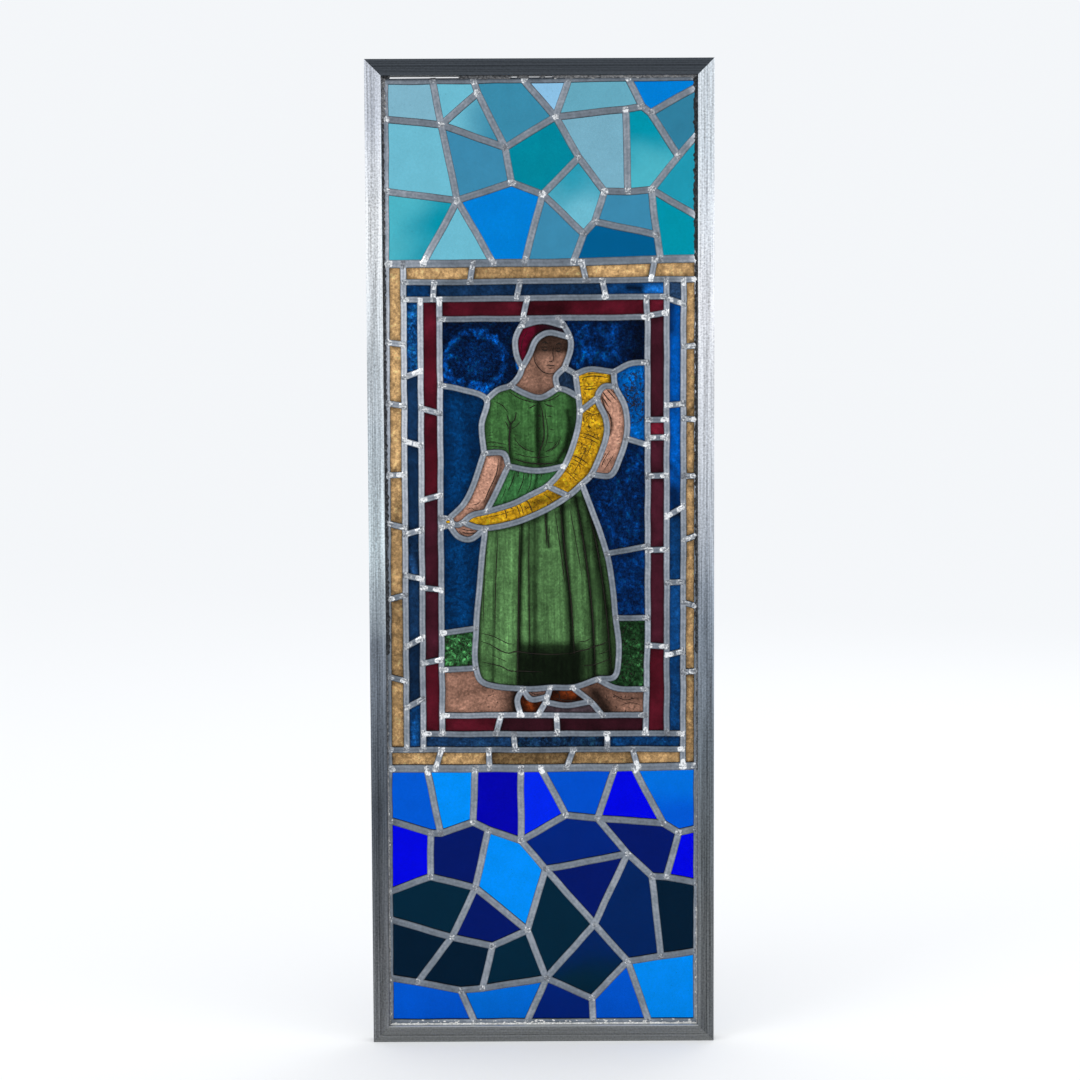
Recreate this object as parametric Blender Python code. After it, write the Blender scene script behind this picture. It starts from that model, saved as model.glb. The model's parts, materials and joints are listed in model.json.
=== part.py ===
"""A leaded stained glass window in a mitred aluminium frame.

Metres, +Z up, the front faces -Y. The origin is in the middle of the sill, under the bottom rail.
The glass is set in lead cames of H section: a front and a back flange, joined by a heart.
The lead lines are drawn once, as a flat cartoon, and every outline is worked out from them.
"""
import math

import bmesh
import bpy
from mathutils import Matrix, Vector

MM = 0.001

# The frame: four lengths of one aluminium section, cut at 45 degrees
WIDTH = 350 * MM
HEIGHT = 1000 * MM
DEPTH = 20 * MM
RAIL_FACE = 16.5 * MM
RAIL_WEB = 8.5 * MM
CHANNEL = 6.2 * MM
EDGE_CHAMFER = 0.8 * MM
FLUTE_AT = 7.5 * MM
FLUTE_WIDTH = 1.2 * MM
FLUTE_DEPTH = 0.6 * MM
MITRE_GAP = 0.3 * MM

# The leaded panel in the frame's channel, in millimetres as on the cartoon
GLASS_THICK = 3.0
FLANGE_THICK = 1.0
FLANGE_INNER = 1.8
HEART_HALF = 0.8
GLASS_EDGE = 1.1
PANEL_EDGE = [(-164, 18.9), (164, 17.2), (164, 991.2), (-164, 991.2)]

# Half the width of each kind of came
BORDER_CAME = 3.15
MOSAIC_CAME = 3.6
DIVIDER_CAME = 4.1
RING_CAME = 2.2

# Colours of the materials, linear
ALUMINIUM = (0.42, 0.43, 0.45)
LEAD = (0.23, 0.24, 0.26)
AMBER = (0.61, 0.33, 0.09)
BORDER_BLUE = (0.0, 0.035, 0.22)
RUBY = (0.10, 0.0, 0.01)
AQUA = (0.21, 0.51, 0.64)
SLATE = (0.05, 0.27, 0.42)
SKY = (0.20, 0.47, 0.62)
TEAL = (0.02, 0.28, 0.40)
AZURE = (0.0, 0.26, 0.78)
STEEL = (0.02, 0.17, 0.33)
ROYAL = (0.0, 0.08, 0.62)
ULTRAMARINE = (0.0, 0.01, 0.65)
NAVY = (0.0, 0.008, 0.11)
MIDNIGHT = (0.0, 0.012, 0.03)
CRIMSON = (0.12, 0.0, 0.012)
SKIN = (0.50, 0.24, 0.16)
GREEN = (0.05, 0.18, 0.045)
GOLD = (0.72, 0.42, 0.01)
NIGHT_BLUE = (0.0, 0.04, 0.17)
LEAF = (0.02, 0.13, 0.03)
ROCK = (0.33, 0.15, 0.10)
LEATHER = (0.18, 0.04, 0.0)


# The cartoon. A place is (x, drop): millimetres right of the middle, and down from the frame's top.
# Lines that run the whole way, each through its own few places
LINES = {
    "top": [(-154.5, 21.8), (159, 18.8)],
    "bottom": [(-157.8, 981.2), (157.4, 981.6)],
    "left": [(-154.5, 21.8), (-157.8, 981.2)],
    "right": [(159, 18.8), (157.4, 981.6)],
    "upper_divider": [(-155.1, 203.3), (30, 202.6), (158.7, 198.8)],
    "lower_divider": [(-156.9, 717.2), (100, 716.8), (157.8, 715.3)],
    "amber_left": [(-138.1, 203.1), (-138.7, 697.8)],
    "blue_left": [(-121.2, 239.1), (-121.8, 697.8)],
    "red_left": [(-102, 239), (-102.2, 681.7)],
    "red_right": [(107, 237.5), (108.1, 262), (108, 570), (105.6, 681.7)],
    "blue_right": [(127.4, 220.4), (127.3, 681.7)],
    "amber_right": [(144.5, 220.1), (143.9, 715.7)],
    "amber_top": [(-138.1, 222), (158.7, 219.8)],
    "blue_top": [(-138.2, 239.2), (127.4, 237.2)],
    "red_top": [(-102, 259.3), (108, 257.8)],
    "red_bottom": [(-102.2, 662.3), (106.2, 662.8)],
    "blue_bottom": [(-121.8, 681.5), (144, 681.9)],
    "amber_bottom": [(-156.8, 697.6), (144, 698)],
}

# Short cames across the upright border strips: between two lines, the drop at each end
UPRIGHT_CROSSES = [
    ("left", "amber_left",
     [(282, 284), (343.8, 346.3), (416, 416), (465.6, 469.6), (542.7, 538.2), (622, 627)]),
    ("amber_left", "blue_left",
     [(317.5, 311.2), (381.9, 386.6), (476.6, 472), (518.4, 521.9), (591.5, 582), (654.5, 645.2)]),
    ("blue_left", "red_left", [(348.8, 354), (442, 436.8), (531, 533.4), (608.8, 604.7)]),
    ("red_right", "blue_right",
     [(256.5, 252.7), (361.5, 361), (379.5, 379), (418.3, 417.7), (493.5, 493), (591, 592.4)]),
    ("blue_right", "amber_right",
     [(238.8, 244.6), (346.5, 345.3), (459.3, 450.1), (526.5, 526), (601, 597)]),
    ("amber_right", "right",
     [(288, 286.7), (360.3, 361.3), (418.7, 418.5), (483.6, 478.5), (547.5, 551.6), (618.6, 618)]),
]

# Short cames across the level border strips: between two lines, the x at each end
LEVEL_CROSSES = [
    ("upper_divider", "amber_top", [(-68, -71), (42, 46), (115, 111.6)]),
    ("amber_top", "blue_top", [(-107.2, -108.3), (-20.5, -24), (62, 66)]),
    ("blue_top", "red_top", [(-13, -18)]),
    ("red_bottom", "blue_bottom", [(-41.9, -47.3), (14.2, 15.3)]),
    ("blue_bottom", "amber_bottom", [(-29.4, -27.7), (66.4, 66.4)]),
    ("amber_bottom", "lower_divider", [(-103.2, -109.3), (-55, -54.2), (31.5, 25), (92.3, 97)]),
]

# The upper mosaic: joints, and the straight cames that run from joint to joint
UPPER_JOINTS = {
    "t1": (-107, 21.4), "t2": (-66, 21), "t3": (-16, 20.5), "t4": (29.5, 20), "t5": (89, 19.5),
    "l1": (-154.6, 59), "l2": (-154.9, 131), "r1": (159, 27.5), "r2": (159, 75), "r3": (158.8, 157),
    "b1": (-118, 203.1), "b2": (-47, 203), "b3": (-16, 202.9), "b4": (33, 202.7), "b5": (121, 200),
    "a": (-99, 64.5), "b": (-62, 33), "c": (-35, 87.5), "d": (16, 57.5), "e": (-83, 140),
    "f": (-28.5, 122.5), "g": (2.5, 134), "h": (39.5, 98), "i": (65, 132), "j": (44, 174),
    "k": (103, 47), "m": (111, 53.5), "n": (139, 97), "o": (86.5, 50), "p": (112, 130),
    "q": (117.5, 175), "s": (55, 162), "u": (88.5, 132),
}
UPPER_CAMES = [
    "l1 a b c d o k m n p q b5", "t1 a e b1", "t2 b", "t3 d t4", "t5 k", "m r1", "n r2", "p r3",
    "a c f e l2", "f g h d", "h i s j g b3", "j b4", "e b2", "o u i", "u p", "s q",
]

# The lower mosaic
LOWER_JOINTS = {
    "t1": (-118.5, 717), "t2": (-69, 717), "t3": (-22.3, 717), "t4": (-2, 717), "t5": (74, 717),
    "t6": (93, 717), "l1": (-157.1, 770.8), "l2": (-157.3, 844.6), "l3": (-157.4, 873.5),
    "l4": (-157.6, 934.8), "r1": (157.7, 780.3), "r2": (157.6, 837), "r3": (157.5, 908.4),
    "b1": (-71.5, 981.4), "b2": (-17, 981.4), "b3": (51, 981.4), "b4": (108.5, 981.4),
    "a": (-115, 783.8), "b": (-104.8, 784.2), "c": (-71.2, 773.2), "d": (-56, 780.8),
    "e": (-22, 792.4), "f": (24.2, 765.6), "g": (56, 769.2), "h": (123.4, 775), "i": (139.4, 784.9),
    "j": (-115.2, 829.2), "k": (-69.2, 840.9), "m": (2.7, 821.9), "n": (87, 806.4),
    "o": (112, 829.7), "p": (126.8, 830.4), "q": (-16.4, 885.6), "s": (52.7, 879.8),
    "u": (-94.2, 892.5), "v": (-52.2, 902), "w": (-129.4, 939.5), "x": (-85.3, 948.4),
    "y": (-62.7, 946.3), "z": (3, 935.8), "za": (86.6, 918.8), "zb": (121.2, 913.5),
    "zc": (50, 957.4),
}
LOWER_CAMES = [
    "l1 a b c d e f g h i r1", "t1 b", "t2 c", "t3 e", "t4 f", "t5 g", "t6 h", "a j", "l2 j k q v u l3",
    "d k u w", "e m s za", "m n", "g n o p r2", "i p", "n s z", "m q z", "o zb", "r3 zb za",
    "v y", "l4 w x y z", "x b1", "z b2", "z zc b3", "za zc", "za b4",
]

# The picture: a figure with a long horn, in curved cames. The ring is the horn's mouthpiece.
RING_CENTRE = (-94.4, 464.2)
RING_RADIUS = 4.2
RING_SIDES = 8
PICTURE_JOINTS = {
    "hood_left": (-19.5, 266), "hood_right": (24, 266.8), "brow": (29.8, 277.8),
    "nape": (-18.4, 308.1), "cheek": (24.1, 308.2), "collar_left": (-31, 326),
    "collar_right": (17, 329.1), "shoulder": (-55, 340), "cuff": (-57.8, 394), "waist_left": (-33.2, 407.5),
    "waist_right": (23.4, 407.8), "horn_tip": (-79.2, 465), "wrist": (-55.5, 454.2),
    "horn_a": (6.3, 427.9), "horn_b": (27.5, 438), "horn_c": (39, 352.5), "armpit": (38.2, 338),
    "mouth_left": (35.4, 315), "mouth_right": (73.8, 312.5), "knuckle": (75.8, 327.5),
    "thumb": (57.3, 338.6), "elbow": (50.8, 416.5), "forearm": (86, 379.5), "hip_left": (-57.5, 470.9),
    "hip_right": (41.2, 426.1), "knee_right": (66.3, 497.3), "calf_right": (75.4, 563.3),
    "calf_left": (-67, 573), "hem_left": (-67.6, 613.5), "hem_right": (57, 625.8),
    "foot_a": (-19.5, 635.1), "foot_b": (7.7, 634), "foot_c": (31, 634),
    "instep": (5, 643.5), "heel": (3.3, 649), "toe": (49.4, 648.4),
}
PICTURE_CAMES = [
    [(-14, 259), "hood_left", (-25.4, 280), (-24.2, 296), "nape"],
    [(18.5, 258.4), "hood_right", "brow", (30.6, 288), "cheek"],
    ["hood_left", (2, 261.4), "hood_right"],
    ["nape", (-11.5, 295.5), (-4.5, 280.4), (7.5, 273.2), "brow"],
    ["nape", (-22, 316.8), "collar_left", (-43, 330), "shoulder"],
    ["cheek", (15.2, 317.5), "collar_right"],
    ["collar_left", (-17, 333.6), (0, 338), "collar_right"],
    ["cheek", "mouth_left", (49, 310), "mouth_right"],
    ["collar_right", (25.5, 330.8), "armpit"],
    ["mouth_left", "armpit", "horn_c", (36.9, 370), (30.9, 391), "waist_right",
     "horn_a", (-10, 436.7), (-29.2, 445.8), "wrist", (-71, 458), "horn_tip"],
    ["mouth_right", "knuckle", (84.5, 346.5), (87.2, 363), "forearm", (80.5, 399), (70.5, 417.5), "elbow"],
    ["knuckle", (64.5, 327.2), "thumb", (66.2, 361), (66, 378), "elbow",
     "hip_right", "horn_b", (4, 452.6), (-24, 464.2), "hip_left", (-69, 469.2), "horn_tip"],
    ["horn_a", "horn_b"],
    ["horn_c", "thumb"],
    ["mouth_right", (90, 304.6), (108.1, 303.3)],
    ["forearm", (108.1, 387)],
    [(-102, 325.4), (-82, 329.2), "shoulder", (-60.2, 366), "cuff"],
    ["cuff", (-38, 395), "waist_left", (-4, 412.3), "waist_right"],
    ["waist_left", "wrist"],
    ["cuff", (-68, 424.5), (-79, 446.5), "ring_1"],
    [(-102, 459.3), "ring_2"],
    [(-102.1, 469), "ring_5"],
    ["ring_7", (-85, 467.4), "horn_tip"],
    ["ring_6", (-84, 479.3), (-72, 481.8), "hip_left"],
    ["hip_left", "calf_left", "hem_left", (-61.5, 628), "foot_a",
     "foot_b", "foot_c", "hem_right", (73.5, 623.4), (78.2, 605), "calf_right", "knee_right", "hip_right"],
    [(-102.2, 577.6), "calf_left"],
    [(-102.2, 615.5), "hem_left"],
    ["knee_right", (108.1, 489.6)],
    ["calf_right", (108, 562.8)],
    ["hem_right", (76, 635), (107, 636.2)],
    ["foot_a", (-25.3, 646.5), (-22, 662.5)],
    ["foot_a", (-12, 645.6), "instep"],
    ["foot_b", "instep", "heel", (-4.2, 662.5)],
    ["heel", (24, 652.3), "toe"],
    ["foot_c", "toe", (61.5, 662.7)],
]

# Small closed cells that are solid lead and solder, by a place inside each
LEAD_CELLS = [(2, 260.4), (-99.8, 464.2)]

# Glass of the picture: one node for each piece, by a place inside it
PICTURE_GLASS = {
    "headscarf_glass": (CRIMSON, (-17, 280)), "face_glass": (SKIN, (5, 300)),
    "bodice_glass": (GREEN, (-10, 370)), "waist_glass": (GREEN, (-20, 425)),
    "skirt_glass": (GREEN, (0, 550)), "left_arm_glass": (SKIN, (-55, 425)),
    "left_hand_glass": (SKIN, (-76, 474)), "right_arm_glass": (SKIN, (75, 370)),
    "horn_bell_glass": (GOLD, (50, 325)), "horn_body_glass": (GOLD, (45, 380)),
    "horn_tail_glass": (GOLD, (-20, 452)), "horn_mouthpiece_glass": (GOLD, RING_CENTRE),
    "instep_glass": (SKIN, (-6, 640)), "left_shoe_glass": (LEATHER, (-12, 652)),
    "right_shoe_glass": (LEATHER, (25, 643)), "right_sole_glass": (LEATHER, (25, 657)),
    "left_rock_glass": (ROCK, (-85, 640)), "right_rock_glass": (ROCK, (85, 648)),
    "left_foliage_glass": (LEAF, (-85, 595)), "right_foliage_glass": (LEAF, (90, 600)),
    "sky_top_left_glass": (NIGHT_BLUE, (-70, 290)), "sky_top_right_glass": (NIGHT_BLUE, (70, 280)),
    "sky_shoulder_glass": (NIGHT_BLUE, (28, 322)), "sky_left_glass": (NIGHT_BLUE, (-85, 400)),
    "sky_lower_left_glass": (NIGHT_BLUE, (-80, 530)), "sky_horn_glass": (NIGHT_BLUE, (97, 345)),
    "sky_right_glass": (NIGHT_BLUE, (85, 450)), "sky_lower_right_glass": (NIGHT_BLUE, (90, 530)),
}

# Glass of the mosaics: neighbours of one tint in one node, by a place inside each piece
MOSAIC_GLASS = {
    "upper_glass_pale_left": (AQUA, [(-130, 40), (-85, 35), (-130, 100)]),
    "upper_glass_slate": (SLATE, [(-65, 62), (-30, 45), (-60, 110)]),
    "upper_glass_sky": (SKY, [(10, 30), (60, 35), (60, 85)]),
    "upper_glass_teal_right": (TEAL, [(130, 30), (145, 60), (110, 95), (140, 130), (140, 180)]),
    "upper_glass_teal_middle": (TEAL, [(5, 105), (40, 140), (12, 180)]),
    "upper_glass_azure_foot": (AZURE, [(-130, 170), (-80, 185), (-30, 160)]),
    "upper_glass_steel": (STEEL, [(90, 150), (80, 185)]),
    "lower_glass_royal_left": (ROYAL, [(-135, 745), (-88, 740), (-135, 810)]),
    "lower_glass_cobalt_top": (ULTRAMARINE, [(-45, 745), (-10, 760), (40, 740)]),
    "lower_glass_ultramarine_right": (ULTRAMARINE, [(90, 750), (135, 750), (148, 805)]),
    "lower_glass_navy_left": (NAVY, [(-90, 805), (-120, 860), (-130, 905)]),
    "lower_glass_azure_heart": (AZURE, [(-35, 825), (-55, 870)]),
    "lower_glass_navy_right": (NAVY, [(35, 790), (110, 800), (45, 840), (90, 860), (140, 870)]),
    "lower_glass_midnight": (MIDNIGHT, [(10, 880), (-90, 920), (-30, 915), (45, 920)]),
    "lower_glass_foot": (ROYAL, [(-120, 965), (-50, 965), (15, 965), (75, 960), (130, 950)]),
}

# Glass of the border: every piece that a straight thread from one end of a strip to the other meets
BORDER_GLASS = {
    "amber_left_glass": (AMBER, (-146.5, 215), (-147.5, 690)),
    "amber_right_glass": (AMBER, (151, 230), (151, 705)),
    "amber_top_glass": (AMBER, (-130, 213), (150, 209)),
    "amber_bottom_glass": (AMBER, (-148, 707), (135, 707)),
    "blue_left_glass": (BORDER_BLUE, (-130, 248), (-130, 690)),
    "blue_right_glass": (BORDER_BLUE, (136, 230), (136, 674)),
    "blue_top_glass": (BORDER_BLUE, (-130, 231), (118, 229)),
    "blue_bottom_glass": (BORDER_BLUE, (-113, 689.5), (136, 689.5)),
    "red_left_glass": (RUBY, (-112, 248), (-112, 672)),
    "red_right_glass": (RUBY, (117, 245), (116, 672)),
    "red_top_glass": (RUBY, (-93, 249), (100, 248)),
    "red_bottom_glass": (RUBY, (-95, 672), (98, 672)),
}
THREAD_STEP = 2.0

# Bends that count as none, sides that count as parallel, and the shortest side that an outline keeps
STRAIGHT = math.radians(0.1)
SHALLOW = math.radians(2)
SHORTEST_SIDE = 0.3
FILL_TURN = math.radians(33)


def clear_scene():
    for item in list(bpy.data.objects):
        bpy.data.objects.remove(item, do_unlink=True)


def make_collection(name):
    collection = bpy.data.collections.new(name)
    bpy.context.scene.collection.children.link(collection)
    return collection


def material(name, colour, roughness, metallic=0.0, transmission=0.0):
    made = bpy.data.materials.get(name)
    if made:
        return made
    made = bpy.data.materials.new(name)
    made.use_nodes = True
    shader = made.node_tree.nodes["Principled BSDF"]
    shader.inputs["Base Color"].default_value = (*colour, 1)
    shader.inputs["Roughness"].default_value = roughness
    shader.inputs["Metallic"].default_value = metallic
    shader.inputs["Transmission Weight"].default_value = transmission
    made.diffuse_color = (*colour, 1)
    return made


def place_on(line, value, axis):
    """The place on a line where its x (axis 0) or its drop (axis 1) has a value."""
    for start, end in zip(line, line[1:]):
        low, high = sorted((start[axis], end[axis]))
        if low <= value <= high:
            share = (value - start[axis]) / (end[axis] - start[axis])
            return tuple(s + share * (e - s) for s, e in zip(start, end))
    raise ValueError(f"the line does not reach {value}")


def cartoon():
    """Every lead line as (places, half width)."""
    cames = []
    for name, places in LINES.items():
        cames.append((places, DIVIDER_CAME if "divider" in name else BORDER_CAME))
    for first, second, drops in UPRIGHT_CROSSES:
        for one, two in drops:
            ends = [place_on(LINES[first], one, 1), place_on(LINES[second], two, 1)]
            cames.append((ends, BORDER_CAME))
    for first, second, widths in LEVEL_CROSSES:
        for one, two in widths:
            ends = [place_on(LINES[first], one, 0), place_on(LINES[second], two, 0)]
            cames.append((ends, BORDER_CAME))
    for joints, routes in ((UPPER_JOINTS, UPPER_CAMES), (LOWER_JOINTS, LOWER_CAMES)):
        for route in routes:
            cames.append(([joints[name] for name in route.split()], MOSAIC_CAME))
    joints = dict(PICTURE_JOINTS)
    ring = []
    for side in range(RING_SIDES):
        turn = math.tau * (side + 0.5) / RING_SIDES
        ring.append((RING_CENTRE[0] + RING_RADIUS * math.cos(turn),
                     RING_CENTRE[1] - RING_RADIUS * math.sin(turn)))
        joints[f"ring_{side}"] = ring[-1]
    cames.append((ring + ring[:1], RING_CAME))
    for route in PICTURE_CAMES:
        cames.append(([joints.get(stop, stop) for stop in route], BORDER_CAME))
    return cames


def nearest_on(place, start, end):
    """The share along a straight stretch that is nearest to a place, and how far off it is."""
    dx, dy = end[0] - start[0], end[1] - start[1]
    share = ((place[0] - start[0]) * dx + (place[1] - start[1]) * dy) / (dx * dx + dy * dy)
    share = min(1.0, max(0.0, share))
    return share, math.dist(place, (start[0] + share * dx, start[1] + share * dy))


def solder(cames, reach=2.5, same=0.3):
    """Set each came's ends on the line that they meet, and part that line there.

    Gives the net as {(place, place): half width}, with each stretch both ways.
    """
    routes = [([tuple(place) for place in places], half) for places, half in cames]
    for index, (places, _) in enumerate(routes):
        for end in (0, -1):
            best = None
            for other, (track, _) in enumerate(routes):
                if other == index:
                    continue
                for at, (a, b) in enumerate(zip(track, track[1:])):
                    share, gap = nearest_on(places[end], a, b)
                    if gap < reach and (best is None or gap < best[0] - 1e-6):
                        best = (gap, other, at, share)
            if best is None:
                continue
            _, other, at, share = best
            track = routes[other][0]
            a, b = track[at], track[at + 1]
            met = (a[0] + share * (b[0] - a[0]), a[1] + share * (b[1] - a[1]))
            if math.dist(met, a) < same:
                met = a
            elif math.dist(met, b) < same:
                met = b
            else:
                track.insert(at + 1, met)
            places[end] = met
    net = {}
    for places, half in routes:
        for a, b in zip(places, places[1:]):
            net[(a, b)] = half
            net[(b, a)] = half
    return net


def cells(net):
    """Walk round every cell of the net. Each is a loop of places, counterclockwise seen from the front."""
    around = {}
    for a, b in net:
        around.setdefault(a, []).append(b)
    for place, others in around.items():
        others.sort(key=lambda other: math.atan2(place[1] - other[1], other[0] - place[0]))
    unused = set(net)
    loops = []
    while unused:
        start = min(unused)
        step = start
        loop = []
        while step in unused:
            unused.remove(step)
            loop.append(step[0])
            a, b = step
            ring = around[b]
            step = (b, ring[ring.index(a) - 1])
        loops.append(loop)
    return [loop for loop in loops if area(loop) > 0]


def area(loop):
    """Twice the area, positive where the loop runs counterclockwise seen from the front."""
    total = 0.0
    for a, b in zip(loop, loop[1:] + loop[:1]):
        total += b[0] * a[1] - a[0] * b[1]
    return total


def holds(loop, place):
    inside = False
    for a, b in zip(loop, loop[1:] + loop[:1]):
        if (a[1] > place[1]) != (b[1] > place[1]):
            if place[0] < a[0] + (place[1] - a[1]) / (b[1] - a[1]) * (b[0] - a[0]):
                inside = not inside
    return inside


def find_cell(loops, place):
    for index, loop in enumerate(loops):
        if holds(loop, place):
            return index
    raise ValueError(f"no cell at {place}")


def outline(loops):
    """The loop round a group of cells: the stretches that only one of them has."""
    stretches = set()
    for loop in loops:
        stretches.update(zip(loop, loop[1:] + loop[:1]))
    rim = {a: b for a, b in stretches if (b, a) not in stretches}
    start = min(rim)
    walk = [start]
    while rim[walk[-1]] != start:
        walk.append(rim[walk[-1]])
    return walk


def bend(a, b, c):
    turn = math.atan2(c[1] - b[1], c[0] - b[0]) - math.atan2(b[1] - a[1], b[0] - a[0])
    return abs((turn + math.pi) % math.tau - math.pi)


def meet(first, second):
    """Where two straight sides, each (place, direction), cross, or the second's place if they hardly bend."""
    (a, one), (b, two) = first, second
    cross = one[0] * two[1] - one[1] * two[0]
    if abs(cross) < math.sin(SHALLOW):
        return b
    share = ((b[0] - a[0]) * two[1] - (b[1] - a[1]) * two[0]) / cross
    return (a[0] + share * one[0], a[1] + share * one[1])


def inset(loop, net, distance=None):
    """A loop moved inwards, side by side, by a distance or by each came's half width.

    A side that the move swallows is left out, and its neighbours meet instead.
    """
    count = len(loop)
    corners = [i for i in range(count) if bend(loop[i - 1], loop[i], loop[(i + 1) % count]) > STRAIGHT]
    sides = []
    for i, following in zip(corners, corners[1:] + corners[:1]):
        a, b = loop[i], loop[following]
        gap = distance or net[(a, loop[(i + 1) % count])]
        length = math.dist(a, b)
        along = ((b[0] - a[0]) / length, (b[1] - a[1]) / length)
        sides.append(((a[0] + along[1] * gap, a[1] - along[0] * gap), along))
    while True:
        moved = [meet(sides[i - 1], sides[i]) for i in range(len(sides))]
        lengths = []
        for a, b, (_, along) in zip(moved, moved[1:] + moved[:1], sides):
            lengths.append((b[0] - a[0]) * along[0] + (b[1] - a[1]) * along[1])
        shortest = min(lengths)
        if shortest > SHORTEST_SIDE:
            return moved
        del sides[lengths.index(shortest)]


def add_curve(shape, loops, near, far, fill):
    """Add upright outlines to a shape, from y = near to y = far, in the panel's own millimetres.

    The fill is BOTH for a sheet with holes, closed or of no thickness, and NONE for the walls alone.
    The drawing is turned for the fill and turned back, because edges that lie level can upset it.
    """
    tilt = Matrix.Rotation(FILL_TURN, 4, "Z")
    curve = bpy.data.curves.new("outline", "CURVE")
    curve.dimensions = "2D"
    curve.fill_mode = fill
    curve.extrude = (far - near) / 2
    for loop in loops:
        spline = curve.splines.new("POLY")
        spline.points.add(len(loop) - 1)
        for point, (x, drop) in zip(spline.points, loop):
            point.co = (*(tilt @ Vector((x, -drop, 0))), 1)
        spline.use_cyclic_u = True
    guide = bpy.data.objects.new("outline", curve)
    bpy.context.scene.collection.objects.link(guide)
    back = Matrix.Translation((0, (near + far) / 2 * MM, 0))
    upright = Matrix.Rotation(math.pi / 2, 4, "X")
    guide.matrix_world = back @ upright @ tilt.inverted() @ Matrix.Scale(MM, 4)
    add_mesh(shape, guide)


def add_mesh(shape, guide):
    """Add a curve object's surface to a shape, moved by the object's matrix, and remove the curve."""
    bpy.context.view_layer.update()
    mesh = bpy.data.meshes.new_from_object(guide.evaluated_get(bpy.context.evaluated_depsgraph_get()))
    mesh.transform(guide.matrix_world)
    shape.from_mesh(mesh)
    bpy.data.meshes.remove(mesh)
    bpy.data.objects.remove(guide, do_unlink=True)


def closed_object(name, shape):
    """Weld a shape's sheets and walls into one closed body with its faces outwards."""
    bmesh.ops.remove_doubles(shape, verts=shape.verts, dist=0.00001)
    bmesh.ops.recalc_face_normals(shape, faces=shape.faces)
    flat = [face for face in shape.faces if abs(face.normal.y) > 0.999]
    inner = [edge for edge in shape.edges if all(face in flat for face in edge.link_faces)]
    bmesh.ops.beautify_fill(shape, faces=flat, edges=inner)
    mesh = bpy.data.meshes.new(name)
    shape.to_mesh(mesh)
    shape.free()
    return bpy.data.objects.new(name, mesh)


def pane(name, rim):
    """One flat piece of glass, halfway between the flanges."""
    shape = bmesh.new()
    add_curve(shape, [rim], -GLASS_THICK / 2, GLASS_THICK / 2, "BOTH")
    return closed_object(name, shape)


def rail(name, length, turn, place):
    """A length of the frame section, cut at 45 degrees at both ends.

    The section lies in x and y: x is 0 at the rail's outer side and grows towards the glass.
    """
    half, groove, lip = DEPTH / 2, CHANNEL / 2, RAIL_FACE
    section = [
        (EDGE_CHAMFER, -half), (FLUTE_AT - FLUTE_WIDTH / 2, -half), (FLUTE_AT, FLUTE_DEPTH - half),
        (FLUTE_AT + FLUTE_WIDTH / 2, -half), (lip - EDGE_CHAMFER, -half), (lip, EDGE_CHAMFER - half),
        (lip, -groove), (RAIL_WEB, -groove), (RAIL_WEB, groove), (lip, groove), (lip, half),
        (0, half), (0, EDGE_CHAMFER - half),
    ]
    curve = bpy.data.curves.new(name, "CURVE")
    curve.dimensions = "2D"
    curve.fill_mode = "BOTH"
    curve.extrude = length / 2
    spline = curve.splines.new("POLY")
    spline.points.add(len(section) - 1)
    for point, (x, y) in zip(spline.points, section):
        point.co = (x, y, 0, 1)
    spline.use_cyclic_u = True
    guide = bpy.data.objects.new("section", curve)
    bpy.context.scene.collection.objects.link(guide)
    shape = bmesh.new()
    add_mesh(shape, guide)
    made = closed_object(name, shape)
    for vertex in made.data.vertices:
        inner = vertex.co.x + MITRE_GAP / 2 * math.sqrt(2)
        vertex.co.z -= math.copysign(inner, vertex.co.z)
    made.location = place
    made.rotation_euler.y = turn
    return made


def frame_rails():
    side, middle = WIDTH / 2, HEIGHT / 2
    return [
        rail("left_rail", HEIGHT, 0, (-side, 0, middle)),
        rail("right_rail", HEIGHT, math.pi, (side, 0, middle)),
        rail("top_rail", WIDTH, math.pi / 2, (0, 0, HEIGHT)),
        rail("bottom_rail", WIDTH, -math.pi / 2, (0, 0, 0)),
    ]


def lead_net(net, loops, glass):
    """The soldered cames: front and back flanges round the daylight openings, with hearts between.

    The flanges stand over each glass node's groove as a ledge, front and back.
    """
    outer_face = FLANGE_INNER + FLANGE_THICK
    shape = bmesh.new()
    daylight = []
    for group in glass.values():
        openings = [inset(loops[index], net) for index in group]
        groove = inset(outline([loops[index] for index in group]), net, HEART_HALF)
        for ledge in (-FLANGE_INNER, FLANGE_INNER):
            add_curve(shape, [groove] + openings, ledge, ledge, "BOTH")
        add_curve(shape, [groove], -FLANGE_INNER, FLANGE_INNER, "NONE")
        daylight.extend(openings)
    for near, far in ((-outer_face, -FLANGE_INNER), (FLANGE_INNER, outer_face)):
        add_curve(shape, daylight, near, far, "NONE")
    for face in (-outer_face, outer_face):
        add_curve(shape, [PANEL_EDGE] + daylight, face, face, "BOTH")
    add_curve(shape, [PANEL_EDGE], -outer_face, outer_face, "NONE")
    return closed_object("lead_cames", shape)


def glass_groups(loops):
    """Which cells each glass node is made of."""
    groups = {}
    for name, (_, place) in PICTURE_GLASS.items():
        groups[name] = [find_cell(loops, place)]
    for name, (_, places) in MOSAIC_GLASS.items():
        groups[name] = [find_cell(loops, place) for place in places]
    for name, (_, start, end) in BORDER_GLASS.items():
        steps = int(math.dist(start, end) / THREAD_STEP)
        met = []
        for step in range(steps + 1):
            share = step / steps
            place = (start[0] + share * (end[0] - start[0]), start[1] + share * (end[1] - start[1]))
            index = find_cell(loops, place)
            if index not in met:
                met.append(index)
        groups[name] = met
    return groups


def glass_colour(name):
    for table in (PICTURE_GLASS, MOSAIC_GLASS, BORDER_GLASS):
        if name in table:
            return table[name][0]
    raise KeyError(name)


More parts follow.
